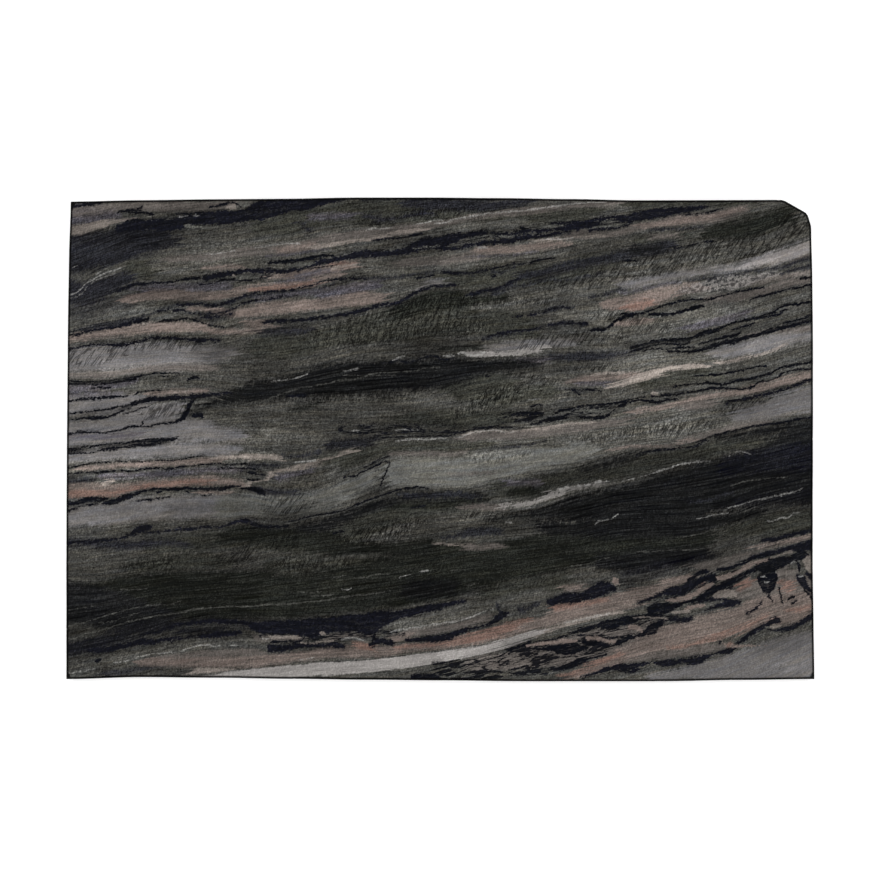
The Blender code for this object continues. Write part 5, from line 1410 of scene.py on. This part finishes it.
def store_finish(mesh):
    """Marks the polished face and its bevel with 1, and the sawn or broken stone with 0."""
    polished = mesh.attributes.new("polished", "FLOAT", "FACE")
    top = HIGH[2] - FACE_DEPTH
    values = [float(face.normal.z > 0.5 and face.center.z > top) for face in mesh.polygons]
    polished.data.foreach_set("value", values)


def store_rim(mesh):
    """Stores each spot's distance from the rim of the flat face."""
    places = vertex_places(mesh)[:, :2]
    uses = {}
    for face in mesh.polygons:
        if face.normal.z > LEVEL:
            for pair in face.edge_keys:
                uses[pair] = uses.get(pair, 0) + 1
    nearest = np.full(len(places), 1.0)
    for (first, second), number in uses.items():
        if number == 1:
            along = places[second] - places[first]
            share = np.clip((places - places[first]) @ along / (along @ along), 0.0, 1.0)
            gap = places - places[first] - share[:, None] * along
            nearest = np.minimum(nearest, np.hypot(gap[:, 0], gap[:, 1]))
    mesh.attributes.new("rim", "FLOAT", "POINT").data.foreach_set("value", nearest)


def unwrap(mesh):
    """Lays the polished face over most of the map, the back under it, and the four flanks in strips below."""
    layer = mesh.uv_layers.new(name="OFBake")
    wide = HIGH[0] - LOW[0]
    high = HIGH[1] - LOW[1]
    corners = np.empty((len(mesh.loops), 2))
    for face in mesh.polygons:
        nx, ny, nz = face.normal
        for loop in face.loop_indices:
            x, y, z = mesh.vertices[mesh.loops[loop].vertex_index].co
            along = (x - LOW[0]) / wide
            up = (y - LOW[1]) / high
            rise = (z - LOW[2]) / THICKNESS
            if nz > 0.5:
                across, height, strip = along, up, MAP_FACE
            elif nz < -0.5:
                across, height, strip = 1 - along, up, MAP_BACK
            elif abs(ny) > abs(nx):
                across, height, strip = along, rise, MAP_UPPER if ny > 0 else MAP_LOWER
            else:
                across, height, strip = up * high / wide, rise, MAP_RIGHT if nx > 0 else MAP_LEFT
            start, size = strip
            corners[loop] = (MAP_MARGIN + (1 - 2 * MAP_MARGIN) * across, start + size * height)
    layer.data.foreach_set("uv", corners.ravel())


def hazed(graph, stone, cover, nearness):
    """The stone with thin dark lines and specks round a seam, and the seam's cover with pale gaps in it."""
    specks = graph.math("MULTIPLY_ADD", graph.seam_edge, -0.8, -1.2)
    specks = graph.remap(graph.math("MULTIPLY_ADD", nearness, 2.2, specks), 0.45, 1.25, 0.0, 0.60)
    lines = graph.math("MULTIPLY", graph.math("MINIMUM", nearness, 1.0), graph.haze_lines)
    stone = graph.mix(graph.math("MAXIMUM", specks, lines), stone, colour(*HAZE_COLOUR))
    inside = graph.remap(nearness, 1.14, 1.46)
    return stone, graph.math("MULTIPLY", cover, graph.math("MULTIPLY_ADD", inside, graph.seam_gaps, 1.0))


def draw(graph, stone, layers, where, edge, hazes=None, breaks=None):
    """The stone with these layers of strokes drawn over it. Notes where the pale, even beds are."""
    for mineral, softness, ragged, opacity, strokes in layers:
        soft = softness * CM
        rough = graph.math("MULTIPLY", edge, ragged * soft)
        haze = hazes[mineral] if hazes else 0.0
        cover, nearness = coverage(graph, where, strokes, soft, rough, haze)
        if breaks and mineral in BROKEN:
            cover = graph.math("MULTIPLY", cover, breaks)
        if nearness:
            stone, cover = hazed(graph, stone, cover, nearness)
        if mineral in EVEN:
            graph.calm.append(graph.math("MULTIPLY", cover, EVEN[mineral]))
        stone = graph.mix(graph.math("MULTIPLY", cover, opacity), stone, colour(mineral))
    return stone


def draw_beds(graph):
    """The beds on the stone's ground colour, cooler here and warmer there."""
    ground = graph.node("ShaderNodeRGB").outputs[0]
    ground.default_value = colour(*GROUND)
    stone = draw(graph, ground, BEDS, graph.far, graph.bed_edge)
    hue = graph.remap(graph.noise(graph.flow("hue"), 5.0, 0.7), 0.34, 0.66)
    return graph.mix(1.0, stone, graph.mix(hue, COOL_TINT, WARM_TINT), "MULTIPLY")


def draw_bands(graph, stone):
    """The bands in the beds, the darker and paler parts, and the soft dark smears."""
    breaks = graph.remap(graph.noise(graph.flow("band breaks"), 4.0, 0.6), 0.40, 0.56, 0.58, 1.0)
    stone = draw(graph, stone, BANDS, graph.far, graph.bed_edge, breaks=breaks)
    for gain, softness, ragged, strokes in SHADES:
        soft = softness * CM
        rough = graph.math("MULTIPLY", graph.bed_edge, ragged * soft)
        cover, _ = coverage(graph, graph.far, strokes, soft, rough)
        stone = graph.shade(stone, graph.math("MULTIPLY_ADD", cover, gain - 1, 1.0))
    return draw(graph, stone, SMEARS, graph.near, graph.bed_edge)


def draw_lines(graph, stone):
    """Long thin pale and dark streaks, which show most on the dark beds."""
    lines = graph.remap(graph.noise(graph.flow("pale lines"), 3.0, 0.6), 0.36, 0.66, -0.6, 1.0)
    lines = graph.combine(lines, lines, lines)
    stone = graph.vector("MULTIPLY_ADD", lines, LINE_COLOUR, stone)
    return graph.vector("MAXIMUM", stone, (0.0, 0.0, 0.0))


def draw_threads(graph, stone):
    """The net of thin dark threads, thicker here and thinner there."""
    swell = graph.remap(graph.noise(graph.flow("thread widths"), 2.0), 0.42, 0.70, 0.008, 0.115)
    threads = graph.math("SUBTRACT", graph.ridge(graph.flow("threads"), 3.0, 0.5), swell)
    threads = graph.remap(threads, -0.004, 0.014, 0.95, 0.0)
    rough = graph.math("MULTIPLY", graph.seam_edge, 0.010)
    laced = coverage(graph, graph.near, LACE, 0.012, rough)[0]
    return graph.mix(graph.math("MULTIPLY", laced, threads), stone, colour("ink"))


def draw_seams(graph, stone):
    """The dark seams with their haze, and the pale veins over them."""
    stone = draw(graph, stone, SEAMS, graph.near, graph.seam_edge, hazes=SEAM_HAZE)
    return draw(graph, stone, VEINS, graph.near, graph.seam_edge)


def find_patches(graph):
    """Where the stone is striated, crumpled and crushed."""
    rough = graph.math("MULTIPLY", graph.bed_edge, 0.010)
    striated = coverage(graph, graph.far, STRIATED, 0.02, rough)[0]
    crumpled = coverage(graph, graph.far, CRUMPLED, 0.03, rough)[0]
    crushed = coverage(graph, graph.far, CRUSHED, 0.01, rough)[0]
    return striated, crumpled, crushed


def draw_streaks(graph, stone):
    """Foliation, laminae, mottling and crinkles along the beds. Also gives their strength at each spot."""
    foliation = graph.noise(graph.flow("foliation"), 4.0, 0.65)
    laminae = graph.noise(graph.flow("laminae"), 2.0, 0.5)
    mottle = graph.noise(graph.flow("mottle"), 2.0, 0.6)
    crinkle = graph.noise(graph.stripes("crinkle"), 2.0, 0.55, 0.8)
    tone = graph.noise(graph.flow("tone"))
    foliation = graph.remap(foliation, 0.32, 0.68, 0.62, 1.34)
    streaks = graph.math("MULTIPLY", foliation, graph.remap(laminae, 0.34, 0.66, 0.82, 1.18))
    streaks = graph.math("MULTIPLY", streaks, graph.remap(mottle, 0.32, 0.68, 0.68, 1.32))
    streaks = graph.math("MULTIPLY", streaks, graph.remap(crinkle, 0.36, 0.64, 0.70, 1.30))
    even = graph.calm[0]
    for cover in graph.calm[1:]:
        even = graph.math("MAXIMUM", even, cover)
    strength = graph.math("SUBTRACT", 1.0, even)
    streaks = graph.math("MULTIPLY_ADD", graph.math("SUBTRACT", streaks, 1.0), strength, 1.0)
    stone = graph.shade(stone, streaks)
    stone = graph.shade(stone, graph.remap(tone, 0.35, 0.65, 0.86, 1.14))
    line = graph.remap(graph.ridge(graph.flow("dark lines"), 4.0), 0.0, 0.030, -0.62, 0.0)
    return graph.shade(stone, graph.math("MULTIPLY_ADD", line, strength, 1.0)), strength


def draw_crumbs(graph, stone, crushed):
    """The crushed patch's mix of pale and dark grains."""
    grains = graph.noise(graph.flow("crumbs"), 3.0, 0.6)
    crumbs = graph.mix(graph.remap(grains, 0.42, 0.58), colour("slate"), colour("quartz"))
    return graph.mix(graph.math("MULTIPLY", crushed, 0.60), stone, crumbs)


def draw_creases(graph, stone, striated, crumpled):
    """Oblique striations and fine crumpling across the beds."""
    oblique = graph.noise(graph.stripes("striations"), 2.0, 0.5, 0.3)
    hatch = graph.math("ABSOLUTE", graph.math("SUBTRACT", oblique, 0.5))
    stone = graph.shade_part(stone, striated, graph.remap(hatch, 0.015, 0.075, 0.34, 1.16))
    steep = graph.noise(graph.stripes("crumpling"), 2.0, 0.55, 0.9)
    return graph.shade_part(stone, crumpled, graph.remap(steep, 0.42, 0.58, 0.42, 1.58))


def draw_speckle(graph, stone, speckle, grain, strength):
    """Speckle and grain of the same size in all directions."""
    speckled = graph.remap(speckle, 0.34, 0.66, 0.54, 1.46)
    speckled = graph.math("MULTIPLY", speckled, graph.remap(grain, 0.30, 0.70, 0.86, 1.14))
    speckled = graph.math("MULTIPLY_ADD", graph.math("SUBTRACT", speckled, 1.0), strength, 1.0)
    return graph.shade_part(stone, 1.0, speckled)


def finish_surface(graph, stone, speckle, grain):
    """Polish with a line of painted shade along the rim on the face, and dusty, matt and scored stone
    elsewhere.
    """
    polished = graph.attribute("polished")
    sawn = graph.math("SUBTRACT", 1.0, polished)
    rim = graph.attribute("rim")
    # painted shade: the polished face grows darker towards its rim
    stone = graph.shade_part(stone, polished, graph.remap(rim, RIM_SHADE_WIDTH * 0.5, RIM_SHADE_WIDTH, RIM_SHADE, 1.0))
    dusted = graph.mix(DUST_SHARE, graph.mix(1.0, stone, SAWN_TINT, "MULTIPLY"), SAWN_DUST)
    stone = graph.mix(sawn, stone, dusted)

    gloss = graph.remap(speckle, 0.30, 0.70, 0.20, 0.12)
    matt = graph.remap(grain, 0.30, 0.70, 0.86, 0.66)
    roughness = graph.math("ADD", graph.math("MULTIPLY", gloss, polished), graph.math("MULTIPLY", matt, sawn))
    saw_marks = graph.noise(graph.vector("MULTIPLY", graph.place, SAW_MARKS))
    pits = graph.math("MULTIPLY_ADD", grain, 0.6, graph.math("MULTIPLY", saw_marks, 0.7))
    pits = graph.math("MULTIPLY", pits, sawn)
    ripples = graph.math("MULTIPLY", graph.math("MULTIPLY", speckle, polished), POLISH_RELIEF)
    height = graph.math("MULTIPLY_ADD", pits, SAWN_RELIEF, ripples)
    bump = graph.node("ShaderNodeBump", {"Height": height, "Distance": 1.0, "Strength": 1.0}).outputs[0]
    inputs = {"Base Color": stone, "Roughness": roughness, "Normal": bump}
    return graph.node("ShaderNodeBsdfPrincipled", inputs)


def quartzite():
    """The quartzite: one stone, polished on its face and sawn elsewhere."""
    graph = StoneGraph("quartzite")
    stone = draw_beds(graph)
    stone = draw_bands(graph, stone)
    stone = draw_lines(graph, stone)
    stone = draw_threads(graph, stone)
    stone = draw_seams(graph, stone)
    striated, crumpled, crushed = find_patches(graph)
    stone, strength = draw_streaks(graph, stone)
    stone = draw_crumbs(graph, stone, crushed)
    stone = draw_creases(graph, stone, striated, crumpled)
    speckle = graph.even_noise(graph.place, SPECKLE_SCALE)
    grain = graph.even_noise(graph.place, GRAIN_SCALE)
    stone = draw_speckle(graph, stone, speckle, grain, strength)
    shader = finish_surface(graph, stone, speckle, grain)
    shader.inputs["IOR"].default_value = QUARTZ_IOR
    graph.node("ShaderNodeOutputMaterial", {"Surface": shader.outputs[0]})
    return graph.material


def dress_slab():
    """The visible slab, which stands for the solid one."""
    mesh = gridded_slab(cad_slab)
    set_edges(mesh)
    store_bedding(mesh)
    store_finish(mesh)
    store_rim(mesh)
    unwrap(mesh)
    mesh.materials.clear()
    mesh.materials.append(quartzite())
    slab = bpy.data.objects.new("dressed_slab", mesh)
    bpy.context.scene.collection.objects.link(slab)
    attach(slab, "root")
    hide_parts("slab")


def floor():
    """A wide pale floor under the slab."""
    graph = Graph("pale_floor")
    inputs = {"Base Color": FLOOR_COLOUR, "Roughness": FLOOR_ROUGHNESS}
    shader = graph.node("ShaderNodeBsdfPrincipled", inputs)
    shader.inputs["Emission Color"].default_value = (1, 1, 1, 1)
    shader.inputs["Emission Strength"].default_value = FLOOR_GLOW
    graph.node("ShaderNodeOutputMaterial", {"Surface": shader.outputs[0]})
    bpy.ops.mesh.primitive_plane_add(size=FLOOR_SIZE, location=(0, 0, LOW[2] - FLOOR_GAP))
    made = bpy.context.object
    made.name = "floor"
    made.data.materials.append(graph.material)


def sky():
    """Soft light from all round, dark straight overhead so that the polish reflects nothing upwards."""
    world = bpy.data.worlds.new("studio")
    world.use_nodes = True
    tree = world.node_tree
    tree.nodes.clear()
    place = tree.nodes.new("ShaderNodeTexCoord")
    split = tree.nodes.new("ShaderNodeSeparateXYZ")
    ramp = tree.nodes.new("ShaderNodeValToRGB")
    for stop, (position, tint) in zip(ramp.color_ramp.elements, (SKY_BRIGHT, SKY_DARK)):
        stop.position = position
        stop.color = tint
    background = tree.nodes.new("ShaderNodeBackground")
    background.inputs["Strength"].default_value = SKY_STRENGTH
    output = tree.nodes.new("ShaderNodeOutputWorld")
    tree.links.new(place.outputs["Generated"], split.inputs[0])
    tree.links.new(split.outputs[2], ramp.inputs[0])
    tree.links.new(ramp.outputs[0], background.inputs[0])
    tree.links.new(background.outputs[0], output.inputs[0])
    bpy.context.scene.world = world


def side_lamp(name, side):
    """A large lamp beside the slab, turned to face it. side is -1 for the left and 1 for the right."""
    light = bpy.data.lights.new(name, "AREA")
    light.energy = LAMP_POWER
    light.size = LAMP_SIZE
    made = bpy.data.objects.new(name, light)
    made.location = (side * LAMP_PLACE[0], LAMP_PLACE[1], LAMP_PLACE[2])
    made.rotation_euler = (0, side * math.radians(LAMP_TILT), 0)
    bpy.context.scene.collection.objects.link(made)


def camera():
    """Looks straight down on the face, framed as in the photograph."""
    lens = bpy.data.cameras.new("camera")
    lens.sensor_width = SENSOR
    lens.lens = SENSOR * CAMERA_HEIGHT / (PHOTO_WIDTH * PIXEL)
    made = bpy.data.objects.new("camera", lens)
    made.location = (PHOTO_CENTRE[0], PHOTO_CENTRE[1], HIGH[2] + CAMERA_HEIGHT)
    bpy.context.scene.collection.objects.link(made)
    bpy.context.scene.camera = made


camera()
sky()
side_lamp("side_light_left", -1)
side_lamp("side_light_right", 1)
floor()
dress_slab()
bpy.context.scene.view_settings.view_transform = "Standard"
